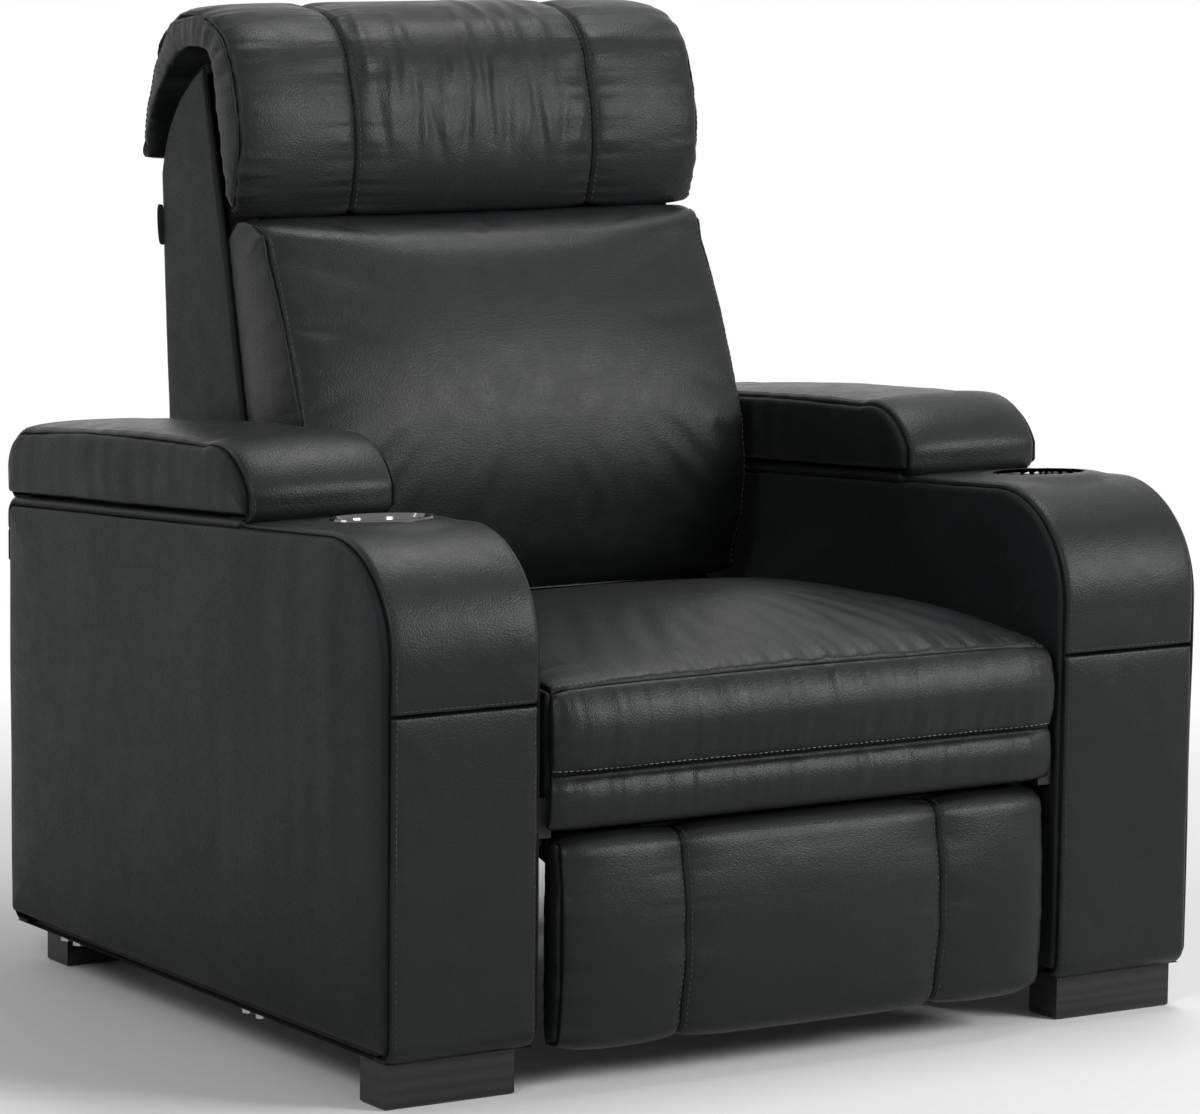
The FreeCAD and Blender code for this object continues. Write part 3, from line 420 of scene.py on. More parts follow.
def beside(points, normals, offset):
    """The line moved sideways within the surface, in millimetres."""
    tangent = np.gradient(points, axis=0)
    across = np.cross(normals, tangent)
    across /= np.linalg.norm(across, axis=1)[:, None] + 1e-12
    return points + across * offset / 1000


CREASE_WIDTH = 3.2


def sew(obj, lines, depth, pull, pull_reach, gather, reach, pitch, seed):
    """Press seams into a pad: a narrow crease, a soft pull towards it, and gathers across it."""
    points = coordinates(obj)
    normals = vertex_normals(obj)
    crease = np.zeros(len(points))
    move = np.zeros(len(points))
    for number, line in enumerate(lines):
        line = resample(line, 0.0025)
        distance, index = distance_to(points, line)
        d = distance * 1000
        wave = row_noise(np.arange(len(line)) * 2.5 / pitch, seed + number)
        wave += 0.5 * row_noise(np.arange(len(line)) * 2.5 / pitch * 2.3, seed + number + 40)
        gathers = gather * wave[index] * (1 - np.exp(-(d / 7) ** 2)) * np.exp(-(d / reach) ** 1.5)
        move += gathers - pull * np.exp(-(d / pull_reach)) - depth * np.exp(-(d / CREASE_WIDTH) ** 2)
        # This crease mask becomes the seam attribute, which paints shade into the leather along the seam.
        crease = np.maximum(crease, np.exp(-(d / 1.7) ** 2))
    set_coordinates(obj, points + normals * move[:, None] / 1000)
    set_attribute(obj, "seam", crease)


def fold(obj, lines, height, width):
    """Raise (or, with a negative height, press in) soft folds that fade out at their ends."""
    points = coordinates(obj)
    normals = vertex_normals(obj)
    move = np.zeros(len(points))
    for line in lines:
        line = resample(line, 0.003)
        distance, index = distance_to(points, line)
        fade = np.sin(math.pi * np.clip(index / (len(line) - 1), 0, 1)) ** 0.7
        move += height * fade * np.exp(-(distance * 1000 / width) ** 2)
    set_coordinates(obj, points + normals * move[:, None] / 1000)


def seam_cord(name, obj, lines, body, bend=None, radius=0.6):
    """The closed seam: a thin cord that lies in the crease, coloured near black as painted shade for the
    seam's dark line.
    """
    vertices, faces = [], []
    for line in lines:
        points, normals = projected(obj, resample(line, 0.004))
        tangent = np.gradient(points, axis=0)
        across = np.cross(normals, tangent)
        across /= np.linalg.norm(across, axis=1)[:, None] + 1e-12
        first = len(vertices)
        for angle in np.linspace(0, 2 * math.pi, 7)[:-1]:
            rise = math.sin(angle) * 0.8 + 0.1
            vertices += list(points + (across * math.cos(angle) + normals * rise) * radius / 1000)
        count = len(points)
        for a in range(6):
            b = (a + 1) % 6
            for k in range(count - 1):
                faces.append((first + a * count + k, first + b * count + k,
                              first + b * count + k + 1, first + a * count + k + 1))
    cord = new_object(name, vertices, faces)
    finish_piece(cord, body, seam_painted_shade, bend)
    return cord


STITCH_PITCH = 6.4
STITCH_LENGTH = 4.7
THREAD = 0.5


def stitches(name, obj, lines, body, material, bend=None):
    """Rows of thread stitches lying on a piece, as one object."""
    vertices, faces = [], []
    ring = [(math.cos(a), math.sin(a)) for a in np.linspace(0, 2 * math.pi, 6)[:-1]]
    shape = ((0.0, 0.25, -0.5), (0.12, 0.8, 0.05), (0.5, 1.0, 0.45),
             (0.88, 0.8, 0.05), (1.0, 0.25, -0.5))
    for line in lines:
        even = resample(line, STITCH_PITCH / 2000)
        points, normals = projected(obj, even)
        for k in range(0, len(points) - 2, 2):
            start, end, normal = points[k], points[k + 2], normals[k]
            along = end - start
            along *= STITCH_LENGTH / 1000 / (np.linalg.norm(along) + 1e-9)
            across = np.cross(normal, along)
            across /= np.linalg.norm(across) + 1e-9
            first = len(vertices)
            for share, thick, lift in shape:
                centre = start + along * share + normal * lift * THREAD / 1000
                for c, s in ring:
                    vertices.append(centre + (across * c + normal * s) * thick * THREAD / 1000)
            for a in range(len(shape) - 1):
                row = first + a * 5
                for b in range(5):
                    c = (b + 1) % 5
                    faces.append((row + b, row + c, row + 5 + c, row + 5 + b))
    thread = new_object(name, vertices, faces)
    finish_piece(thread, body, material, bend)
    return thread


def finish_piece(obj, body, material, bend=None):
    """Give a piece its material, unless it has its own, and its body, unless it crosses a joint.

    bend is (other body, start, end) where the piece crosses a joint; such a piece only has its transform
    baked in, and the three values are not used.
    """
    if material:
        obj.data.materials.clear()
        obj.data.materials.append(material)
    if bend:
        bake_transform(obj)
    else:
        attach(obj, body)


# Materials
def add(tree, kind, inputs=None, **settings):
    """A shader node; an input is a value, or another node's output to link."""
    made = tree.nodes.new("ShaderNode" + kind)
    for key, value in settings.items():
        setattr(made, key, value)
    for key, value in (inputs or {}).items():
        if isinstance(value, bpy.types.NodeSocket):
            tree.links.new(value, made.inputs[key])
        else:
            made.inputs[key].default_value = value
    return made


def shader(name, **values):
    material = bpy.data.materials.new(name)
    material.use_nodes = True
    tree = material.node_tree
    bsdf = tree.nodes["Principled BSDF"]
    for key, value in values.items():
        bsdf.inputs[key.replace("_", " ")].default_value = value
    return material, tree, bsdf


def texture(tree, kind, place, scale, **inputs):
    values = {"Vector": place, "Scale": scale}
    values.update({key.replace("_", " "): value for key, value in inputs.items()})
    return add(tree, kind, values)


def mixed(tree, factor, a, b):
    """Colour mix; a and b are colours of three numbers or outputs."""
    made = add(tree, "Mix", {0: factor}, data_type="RGBA")
    for index, value in ((6, a), (7, b)):
        if isinstance(value, bpy.types.NodeSocket):
            tree.links.new(value, made.inputs[index])
        else:
            made.inputs[index].default_value = (*value, 1)
    return made.outputs[2]


def ranged(tree, value, low, high, to_low, to_high):
    made = add(tree, "MapRange", {"Value": value, "From Min": low, "From Max": high, "To Min": to_low,
                                  "To Max": to_high})
    return made.outputs["Result"]


def connect(tree, bsdf, **outputs):
    for key, output in outputs.items():
        tree.links.new(output, bsdf.inputs[key.replace("_", " ")])


def bumped(tree, height, strength, distance, **inputs):
    values = {"Height": height, "Strength": strength, "Distance": distance, **inputs}
    return add(tree, "Bump", values).outputs[0]


def total(tree, *values):
    """The sum of outputs or numbers."""
    result = values[0]
    for value in values[1:]:
        result = add(tree, "Math", {0: result, 1: value}, operation="ADD").outputs[0]
    return result


def scaled(colour, share):
    return tuple(c * share for c in colour)


def leather(name, tone, roughness, specular, grain=1.0):
    """Finished hide: pebble grain in warped cells, fine pores, drifting tone, and duller seams with
    painted shade darkening the leather along their creases.
    """
    material, tree, bsdf = shader(name)
    place = add(tree, "TexCoord").outputs["Object"]
    drift = texture(tree, "TexNoise", place, 6.0, Detail=3.0).outputs["Fac"]
    scuff = texture(tree, "TexNoise", place, 42.0, Detail=5.0, Roughness=0.6).outputs["Fac"]
    warp = texture(tree, "TexNoise", place, 240.0, Detail=1.0).outputs["Color"]
    bent = add(tree, "VectorMath", {0: warp, 1: (0.0011,) * 3, 2: place}, operation="MULTIPLY_ADD")
    cells = texture(tree, "TexVoronoi", bent.outputs[0], 520.0, Randomness=0.9).outputs["Distance"]
    pores = texture(tree, "TexNoise", place, 1700.0, Detail=2.0).outputs["Fac"]
    seam = add(tree, "Attribute", attribute_name="seam").outputs["Fac"]
    colour = mixed(tree, ranged(tree, drift, 0.3, 0.7, 0, 1), scaled(tone, 0.78), scaled(tone, 1.3))
    colour = mixed(tree, ranged(tree, cells, 0.35, 0.75, 0, 0.35), colour, scaled(tone, 0.55))
    colour = mixed(tree, ranged(tree, scuff, 0.62, 0.8, 0, 0.4), colour, scaled(tone, 2.0))
    # Painted shade: the leather is darkened along the seams, where shade falls in their creases.
    colour = mixed(tree, ranged(tree, seam, 0, 1, 0, 0.75), colour, scaled(tone, 0.35))
    rough = total(tree, ranged(tree, scuff, 0.3, 0.7, roughness - 0.05, roughness + 0.06),
                  ranged(tree, cells, 0.2, 0.8, -0.03, 0.06), ranged(tree, seam, 0, 1, 0, 0.15))
    pebble = total(tree, ranged(tree, cells, 0.0, 0.8, 1.0, 0.0), ranged(tree, pores, 0.3, 0.7, 0, 0.25))
    fine = bumped(tree, pebble, 0.9 * grain, 0.0002)
    soft = bumped(tree, scuff, 0.3 * grain, 0.0008, Normal=fine)
    connect(tree, bsdf, Base_Color=colour, Roughness=rough, Normal=soft,
            Specular_IOR_Level=ranged(tree, seam, 0, 1, specular, 0.0))
    return material


def metal(name, colour, roughness, brushed=0.0, metallic=1.0):
    """Metal or lacquer with drifting tone, hazy patches, fine scratches and a slight orange peel."""
    material, tree, bsdf = shader(name, Metallic=metallic, Specular_IOR_Level=0.5)
    place = add(tree, "TexCoord").outputs["Object"]
    drift = texture(tree, "TexNoise", place, 14.0, Detail=4.0).outputs["Fac"]
    haze = texture(tree, "TexNoise", place, 90.0, Detail=6.0, Roughness=0.65).outputs["Fac"]
    stretched = add(tree, "Mapping", {"Vector": place, "Scale": (60.0, 2600.0, 2600.0)})
    lines = texture(tree, "TexNoise", stretched.outputs[0], 1.0, Detail=2.0).outputs["Fac"]
    tone = mixed(tree, ranged(tree, drift, 0.3, 0.7, 0, 1), scaled(colour, 0.86), scaled(colour, 1.08))
    tone = mixed(tree, ranged(tree, haze, 0.6, 0.8, 0, 0.35), tone, scaled(colour, 0.6))
    rough = total(tree, ranged(tree, haze, 0.3, 0.75, roughness * 0.8, roughness * 1.35),
                  ranged(tree, lines, 0.35, 0.65, 0, 0.12 * brushed))
    height = total(tree, ranged(tree, haze, 0, 1, 0, 0.5), ranged(tree, lines, 0.3, 0.7, 0, brushed))
    connect(tree, bsdf, Base_Color=tone, Roughness=rough, Normal=bumped(tree, height, 0.12, 0.0003))
    return material


def moulded(name, colour, roughness, texture_scale=900.0):
    """Moulded plastic with a spark-eroded grain and faint handling marks."""
    material, tree, bsdf = shader(name, Specular_IOR_Level=0.4)
    place = add(tree, "TexCoord").outputs["Object"]
    marks = texture(tree, "TexNoise", place, 30.0, Detail=6.0, Roughness=0.7).outputs["Fac"]
    grain = texture(tree, "TexVoronoi", place, texture_scale, Randomness=1.0).outputs["Distance"]
    tone = mixed(tree, ranged(tree, marks, 0.35, 0.75, 0, 1), scaled(colour, 0.85), scaled(colour, 1.25))
    rough = ranged(tree, marks, 0.3, 0.8, roughness, roughness + 0.15)
    connect(tree, bsdf, Base_Color=tone, Roughness=rough, Normal=bumped(tree, grain, 0.2, 0.0002))
    return material


def timber(name, light, dark, roughness, along):
    """Wood with stretched rings and pores; along gives the stretch, smallest along the grain."""
    material, tree, bsdf = shader(name, Specular_IOR_Level=0.35)
    place = add(tree, "TexCoord").outputs["Object"]
    lain = add(tree, "Mapping", {"Vector": place, "Scale": along}).outputs[0]
    bend = texture(tree, "TexNoise", lain, 3.0, Detail=3.0).outputs["Fac"]
    waves = {"Vector": lain, "Scale": 1.6, "Distortion": 7.0, "Detail": 3.0, "Phase Offset": bend}
    rings = add(tree, "TexWave", waves, wave_type="BANDS", bands_direction="Z").outputs["Fac"]
    pores = texture(tree, "TexNoise", lain, 60.0, Detail=4.0).outputs["Fac"]
    tone = mixed(tree, rings, light, dark)
    tone = mixed(tree, ranged(tree, pores, 0.55, 0.75, 0, 0.6), tone, scaled(dark, 0.6))
    rough = ranged(tree, pores, 0.3, 0.7, roughness, roughness + 0.12)
    connect(tree, bsdf, Base_Color=tone, Roughness=rough, Normal=bumped(tree, pores, 0.25, 0.0004))
    return material


def woven(name, colour, thread, specular=0.2):
    """Woven belt or cloth: crossing ribs with lighter crowns; thread is the pitch in metres."""
    material, tree, bsdf = shader(name, Roughness=0.85, Specular_IOR_Level=specular)
    place = add(tree, "TexCoord").outputs["Object"]
    ribs = []
    for direction in ("X", "Y"):
        wave = add(tree, "TexWave", {"Vector": place, "Scale": 0.32 / thread, "Distortion": 0.6},
                   wave_type="BANDS", bands_direction=direction)
        ribs.append(wave.outputs["Fac"])
    weave = add(tree, "Math", {0: ribs[0], 1: ribs[1]}, operation="MULTIPLY").outputs[0]
    fuzz = texture(tree, "TexNoise", place, 500.0, Detail=3.0).outputs["Fac"]
    crowns = total(tree, weave, ranged(tree, fuzz, 0.3, 0.7, -0.2, 0.2))
    tone = mixed(tree, crowns, scaled(colour, 0.5), scaled(colour, 1.5))
    connect(tree, bsdf, Base_Color=tone, Normal=bumped(tree, weave, 0.5, thread * 0.3))
    return material


HIDE = (0.0080, 0.0094, 0.0099)
top_leather = leather("leather_top", HIDE, 0.34, specular=0.19)
# The side leather is duller, and its base is painted lighter than the top leather's as painted fill light
# on the side panels and the shell.
side_leather_painted_fill = leather("leather_side_painted_fill", scaled(HIDE, 1.6), 0.40, specular=0.08, grain=0.85)
# The thread is black; its colour is raised well above the leather's as painted highlight on the stitches.
dark_thread = woven("thread_dark", (0.075, 0.078, 0.080), 0.0012)
# Near-black cord colour: painted shade for the dark line in the seam creases.
seam_painted_shade = woven("seam_painted_shade", (0.004, 0.004, 0.0042), 0.0012, specular=0.04)
light_thread = woven("thread_light", (0.22, 0.215, 0.21), 0.0012)
lining = woven("lining", (0.012, 0.012, 0.013), 0.0015)
# The cup holders' metals are kept far darker than bright chrome: painted shade standing in for dark
# surroundings in their reflections.
chrome = metal("chrome", (0.14, 0.14, 0.145), 0.09)
rim_metal_painted_dark = metal("rim_painted_dark", (0.08, 0.08, 0.082), 0.14)
nickel = metal("nickel", (0.62, 0.60, 0.57), 0.18, brushed=0.4)
zinc = metal("zinc", (0.50, 0.50, 0.49), 0.32, brushed=0.6)
coated = metal("powder_coat", (0.018, 0.018, 0.020), 0.42, metallic=0.0)
motor_black = moulded("drive_plastic", (0.022, 0.022, 0.024), 0.45)
acetal = moulded("slider_plastic", (0.16, 0.16, 0.155), 0.38, 1300.0)
bin_black = moulded("bin_plastic", (0.018, 0.018, 0.019), 0.50, 700.0)
panel_black = moulded("panel_plastic", (0.010, 0.010, 0.011), 0.16, 1600.0)
button_grey = moulded("button_plastic", (0.13, 0.13, 0.135), 0.42, 1500.0)
STAIN = (0.016, 0.014, 0.013)
black_wood = timber("black_wood", STAIN, (0.007, 0.006, 0.006), 0.30, along=(1.0, 10.0, 16.0))
plywood = timber("stained_plywood", STAIN, (0.008, 0.007, 0.007), 0.60, along=(9.0, 1.0, 12.0))
belt = woven("belt", (0.06, 0.06, 0.062), 0.003)

NODE_MATERIALS = (
    (("front_foot", "rear_feet"), black_wood),
    (("base_rail", "rear_rail", "lid_board", "seat_frame", "arm_frame", "footrest_board", "back_frame",
      "headrest_board"), plywood),
    (("cup_holder_left",), rim_metal_painted_dark), (("cup_holder_right",), chrome), (("storage_bin",), bin_black),
    (("connector_bolts",), nickel), (("lid_hinges", "lid_leaf", "plate_pivots", "rivets"), zinc),
    (("seat_webbing",), belt), (("control_panel", "power_inlet"), panel_black),
    (("button",), button_grey),
    (("footrest_drive", "recline_drive"), motor_black), (("footrest_slider", "recline_slider"), acetal),
)
for node_name, node_object in nodes.items():
    chosen = [m for words, m in NODE_MATERIALS if any(w in node_name for w in words)]
    node_object.data.materials.clear()
    node_object.data.materials.append(chosen[0] if chosen else coated)


# Arms
BOTTOM_ROUND = 18.0
REAR_ROUND = 14.0
EDGE = 10.0
GROOVE = 3.4
STITCHES_BESIDE = 6.0


def arm_top(y):
    corner_y = ARM_ROUND * (1 + math.sin(ARM_FALL))
    corner_z = ARM_TOP_CENTRE + ARM_ROUND * math.cos(ARM_FALL)
    return corner_z - (y - corner_y) * math.tan(ARM_FALL)


ARM_TOP_CENTRE = ARM_TOP - ARM_ROUND


def cut(line, start, end):
    """The stretch of a line between its points nearest to start and end."""
    a, b = (int(np.argmin(np.hypot(*(line - np.array(p)).T))) for p in (start, end))
    return line[a:b + 1]


def corner_arc(corner, before, after, radius):
    """Points for line_through that round a corner between two directions."""
    bend = radius * (1 - math.sqrt(0.5))
    enter = (corner[0] + before[0] * radius, corner[1] + before[1] * radius)
    leave = (corner[0] + after[0] * radius, corner[1] + after[1] * radius)
    middle = (corner[0] + (before[0] + after[0]) * bend, corner[1] + (before[1] + after[1]) * bend)
    return enter, (middle, leave), middle


CUP_HOLE = 50.5
BIN_HALF = 57.0
BIN_FRONT = 309.0
BIN_REAR = ARM_DEPTH - 52


def cup_or_bin(points):
    """Points of the arm top that the cup's rim or the bin's flange covers."""
    cup = np.hypot(points[:, 0] - ARM_MIDDLE, points[:, 1] - CUP_Y) < CUP_HOLE
    inside = np.abs(points[:, 0] - ARM_MIDDLE) < BIN_HALF
    above = points[:, 2] > ARM_TOP_CENTRE
    return (cup | (inside & (points[:, 1] > BIN_FRONT) & (points[:, 1] < BIN_REAR))) & above


def arm_cover(side, sign):
    low, rear = ARM_BOTTOM, ARM_DEPTH
    front_in, front_out, front_mid = corner_arc((0, low), (1, 0), (0, 1), BOTTOM_ROUND)
    top_in, top_out, top_mid = corner_arc((rear, arm_top(rear)), (-1, 0.067), (0, -1), REAR_ROUND)
    rear_in, rear_out, rear_mid = corner_arc((rear, low), (0, 1), (-1, 0), BOTTOM_ROUND)
    half_turn = math.radians(135) - ARM_FALL / 2
    bend = (ARM_ROUND * (1 + math.cos(half_turn)), ARM_TOP_CENTRE + ARM_ROUND * math.sin(half_turn))
    corner = (ARM_ROUND * (1 + math.sin(ARM_FALL)), arm_top(ARM_ROUND * (1 + math.sin(ARM_FALL))))
    full = line_through((34, low), front_in, front_out, (0, ARM_TOP_CENTRE), (bend, corner), top_in,
                        top_out, rear_in, rear_out, (rear - 34, low), spacing=1.5)
    seam_low, seam_rear = (0, BAND_SEAM_Z), (rear, arm_top(rear) - 30)

    def band_puff(distance):
        return 1.4 * (1 - np.exp(-distance / 5)) + 2.2 * (1 - np.exp(-distance / 20))

    def side_puff(distance, swell):
        return 1.6 * (1 - np.exp(-distance / 6)) + swell * (1 - np.exp(-distance / 34))

    panels = []
    ends = ((34, low), seam_low, seam_rear, (rear - 34, low))
    for number, hole in enumerate((None, cup_or_bin, None)):
        line = cut(full, ends[number], ends[number + 1])
        panels.append(strip(f"band_{number}", line, ARM_INNER, ARM_OUTER, EDGE, band_puff, GROOVE, hole))
    left, top = cut(full, front_mid, bend), cut(full, bend, top_mid)
    right = cut(full, top_mid, rear_mid)[::-1]
    bottom = resample(np.array([front_mid, rear_mid]), 1.5)
    for x, facing, swell in ((ARM_INNER, -1, 0.6), (ARM_OUTER, 1, 5.5)):
        panels.append(side_panel(f"side_{facing}", left, top, right, bottom, x, facing, EDGE,
                                 lambda d, w=swell: side_puff(d, w), GROOVE))
    if sign < 0:
        for panel in panels:
            mirror(panel)
    for number, panel in enumerate(panels):
        relief(panel, lambda p, n=number: arm_relief(p, n < 3, sign))
        panel.data.materials.append(top_leather if number < 3 else side_leather_painted_fill)
    dust_cover(side, sign)
    cover = join(f"arm_upholstery_{side}", panels)
    finish_piece(cover, "base", None)
    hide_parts(f"arm_cover_{side}")
    rows, cords = edge_seams(cut(full, (12, low), seam_rear), ARM_INNER, ARM_OUTER, EDGE, sign)
    across = (ARM_INNER + 4, ARM_OUTER - 4)
    cords.append(to_frame([(x * sign, 0, BAND_SEAM_Z) for x in across]))
    rows.append(to_frame([(x * sign, 0, BAND_SEAM_Z + 5.5) for x in across]))
    seam_cord(f"arm_seams_{side}", cover, cords, "base")
    stitches(f"arm_thread_{side}", cover, rows, "base", dark_thread)


def edge_seams(line, x0, x1, corner, sign=1):
    """Stitch rows, and the seams beside them, along both edges of a strip."""
    rows, cords = [], []
    inner = line - outward(line) * DIAGONAL * corner
    for x, way in ((x0, 1), (x1, -1)):
        seam = x + way * DIAGONAL * corner
        rows.append(to_frame(placed((seam + way * STITCHES_BESIDE) * sign, line)))
        cords.append(to_frame(placed(seam * sign, inner)))
    return rows, cords


def dust_cover(side, sign):
    """Thin black cloth stapled under the arm, slack between its edges."""
    xs, ys = np.linspace(ARM_INNER + 4, ARM_OUTER - 4, 24), np.linspace(8, ARM_DEPTH - 8, 90)
    y, x = (a.ravel() for a in np.meshgrid(ys, xs, indexing="ij"))
    slack = np.minimum(np.minimum(x - xs[0], xs[-1] - x), np.minimum(y - ys[0], ys[-1] - y))
    points = np.column_stack([x * sign, y, ARM_BOTTOM - 0.3 - 0.6 * (1 - np.exp(-slack / 10))])
    faces = grid_faces(len(ys), len(xs), flip=sign < 0)
    obj = new_object(f"arm_dust_cover_{side}", to_frame(points), faces)
    finish_piece(obj, "base", lining)


def arm_relief(points, band, sign):
    """Unevenness of the arm's padding: broad hollows, and slack near the front of the side."""
    broad = 1.3 * value_noise(points, 0.14, sign)
    y = (points[:, 1] - ARM_FRONT) * 1000
    z = points[:, 2] * 1000
    if band:
        cup = np.hypot(np.abs(points[:, 0]) * 1000 - ARM_MIDDLE, y - CUP_Y)
        near = np.clip((cup - 53) / 26, 0, 1)
        near = near * near * (3 - 2 * near)
        top = z > ARM_TOP_CENTRE
        flat = np.where(z > ARM_TOP_CENTRE + 60, near, 1.0) * np.where((y > 290) & top, 0.0, 1.0)
        uneven = broad + 0.5 * value_noise(points, 0.035, sign + 3)
        return uneven * flat - 4.0 * (1 - flat) * top
    drape = np.array([noise.noise(Vector((p[1] * 26, p[2] * 3.2, sign * 4.0))) for p in points])
    strong = np.exp(-((y - 170) / 150) ** 2) * np.clip((z - 80) / 200, 0, 1)
    return broad + drape * (0.08 + 1.1 * strong)


for side, sign in SIDES:
    arm_cover(side, sign)


# Arm pads, modelled along the arm top: u runs to the rear from the cup, w is the height above it
PAD_LOW = 1.5
PAD_TOP = 76.0
PAD_FRONT = 276.0 - CUP_Y
PAD_REAR = ARM_DEPTH - CUP_Y + 2
PAD_SIDE = 1.0
PAD_EDGE = 9.0


def from_arm(line):
    """Turn points along the arm top into Y and Z."""
    u, w = np.asarray(line, float).T
    y = CUP_Y + u * math.cos(ARM_FALL) + w * math.sin(ARM_FALL)
    z = arm_top(CUP_Y) - u * math.sin(ARM_FALL) + w * math.cos(ARM_FALL)
    return np.column_stack([y, z])


def arm_pad(side, sign):
    front, rear, low, top = PAD_FRONT, PAD_REAR, PAD_LOW, PAD_TOP
    front_bottom = ((front + 4, low + 4), (front + 1, low + 14))
    front_top = ((front + 23, top - 15), (front + 88, top))
    crown = (((front + rear) / 2 + 20, top + 4), (rear - 50, top - 1))
    rear_top = ((rear - 13, top - 13), (rear, top - 38))
    rear_bottom = ((rear - 4, low + 4), (rear - 14, low))
    full = line_through((front + 45, low), (front + 14, low), front_bottom, (front, top - 46), front_top,
                        crown, rear_top, (rear, low + 14), rear_bottom, (rear - 45, low), spacing=1.5)

    def top_puff(distance):
        return 7.5 * (1 - np.exp(-distance / 24))

    def side_puff(distance):
        return 1.8 * (1 - np.exp(-distance / 5)) + 4.6 * (1 - np.exp(-distance / 17))

    x0, x1 = ARM_INNER + PAD_SIDE, ARM_OUTER - PAD_SIDE
    marks = [from_arm([p])[0] for p in (front_bottom[0], front_top[0], rear_top[0], rear_bottom[0])]
    full = from_arm(full)
    panels = [strip("pad_band", full, x0, x1, PAD_EDGE, top_puff, GROOVE)]
    left, crest = cut(full, marks[0], marks[1]), cut(full, marks[1], marks[2])
    right = cut(full, marks[2], marks[3])[::-1]
    bottom = resample(np.array([marks[0], marks[3]]), 1.5)
    for x, facing in ((x0, -1), (x1, 1)):
        panels.append(side_panel(f"pad_side_{facing}", left, crest, right, bottom, x, facing, PAD_EDGE,
                                 side_puff, GROOVE, count=(190, 56)))
    floor_line = from_arm([(front + 10, low + 1.5), (rear - 10, low + 1.5)])
    corners = [(x, *p) for p in floor_line for x in (x0 + 8, x1 - 8)]
    under = new_object("pad_under", to_frame(corners), [(0, 1, 3, 2)])
    panels.append(under)
    if sign < 0:
        for panel in panels:
            mirror(panel)
    for panel in panels[:3]:
        relief(panel, lambda p: pad_relief(p, sign))
    for number, panel in enumerate(panels):
        panel.data.materials.append(top_leather if number == 0 else side_leather_painted_fill)
    pad = join(f"arm_pad_upholstery_{side}", panels)
    finish_piece(pad, f"lid_{side}", None)
    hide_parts(f"arm_pad_{side}")
    rows, cords = edge_seams(full[16:-16], x0, x1, PAD_EDGE, sign)
    seam_cord(f"arm_pad_seams_{side}", pad, cords, f"lid_{side}")
    stitches(f"arm_pad_thread_{side}", pad, rows, f"lid_{side}", dark_thread)


def pad_relief(points, sign):
    """Slack in the pad: broad unevenness and short gathers that start at the side seams."""
    broad = 1.2 * value_noise(points, 0.09, sign + 8)
    x = np.abs(points[:, 0]) * 1000
    edge = np.minimum(np.abs(x - ARM_INNER), np.abs(ARM_OUTER - x))
    gathers = row_noise(points[:, 1] * 44, sign + 20) * np.exp(-((edge - 12) / 16) ** 2)
    return broad + 0.9 * gathers


for side, sign in SIDES:
    arm_pad(side, sign)


# Back shell: side panels and one panel over the top and down the rear
BACK_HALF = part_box("back_shell")[1].x * 1000
SHELL_FOOT = (600.0, 376.0)
SHELL_FRONT_TOP = (735.0, 948.0)
SHELL_APEX = (741.0, 958.0)
SHELL_REAR_TOP = (838.0, 836.0)
SHELL_REAR_LOW = (806.0, 300.0)


def back_shell():
    low = SHELL_REAR_LOW
    bottom_in, bottom_out, bottom_mid = corner_arc(low, (0.06, 1), (-1, 0), 16.0)
    turned_in = (low[0] - 58, low[1])
    wrap = line_through(SHELL_FRONT_TOP, SHELL_APEX, ((807, 908), SHELL_REAR_TOP), bottom_in, bottom_out,
                        turned_in, spacing=1.5)
    front = line_through(turned_in, SHELL_FOOT, (690, 775), SHELL_FRONT_TOP, spacing=1.5)

    def puff(distance):
        return 1.8 * (1 - np.exp(-distance / 30))

    panels = [strip("shell_rear", wrap, -BACK_HALF, BACK_HALF, EDGE, puff)]
    left = cut(front, SHELL_FOOT, SHELL_FRONT_TOP)
    top = cut(wrap, SHELL_FRONT_TOP, SHELL_REAR_TOP)
    right = cut(wrap, SHELL_REAR_TOP, bottom_mid)[::-1]
    bottom = resample(np.array([SHELL_FOOT, turned_in, bottom_mid]), 1.5)
    for x, facing in ((-BACK_HALF, -1), (BACK_HALF, 1)):
        name = f"shell_side_{facing}"
        panels.append(side_panel(name, left, top, right, bottom, x, facing, EDGE, puff))
    for panel in panels:
        relief(panel, lambda p: 1.2 * value_noise(p, 0.16, 5) + 0.35 * value_noise(p, 0.04, 6))
    shell = join("back_shell_upholstery", panels)
    finish_piece(shell, "back", side_leather_painted_fill)
    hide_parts("back_shell")
    rows, cords = edge_seams(wrap, -BACK_HALF, BACK_HALF, EDGE)
    seam_cord("back_shell_seams", shell, cords, "back")
    stitches("back_shell_thread", shell, rows, "back", dark_thread)


back_shell()


# Soft pieces
PAD_VOXEL = 5.0


def rounded(share, power=6.0):
    """How full a pad is across its width: 1 in the middle, 0 at the ends, with a round shoulder."""
    return math.sqrt(max(0.0, 1 - abs(share) ** power))


def stations(half):
    """Places across a pad, closer together towards its ends."""
    right = [half * share for share in (0.0, 0.25, 0.5, 0.7, 0.84, 0.92, 0.965, 0.99, 1.0)]
    return [-x for x in reversed(right[1:])] + right


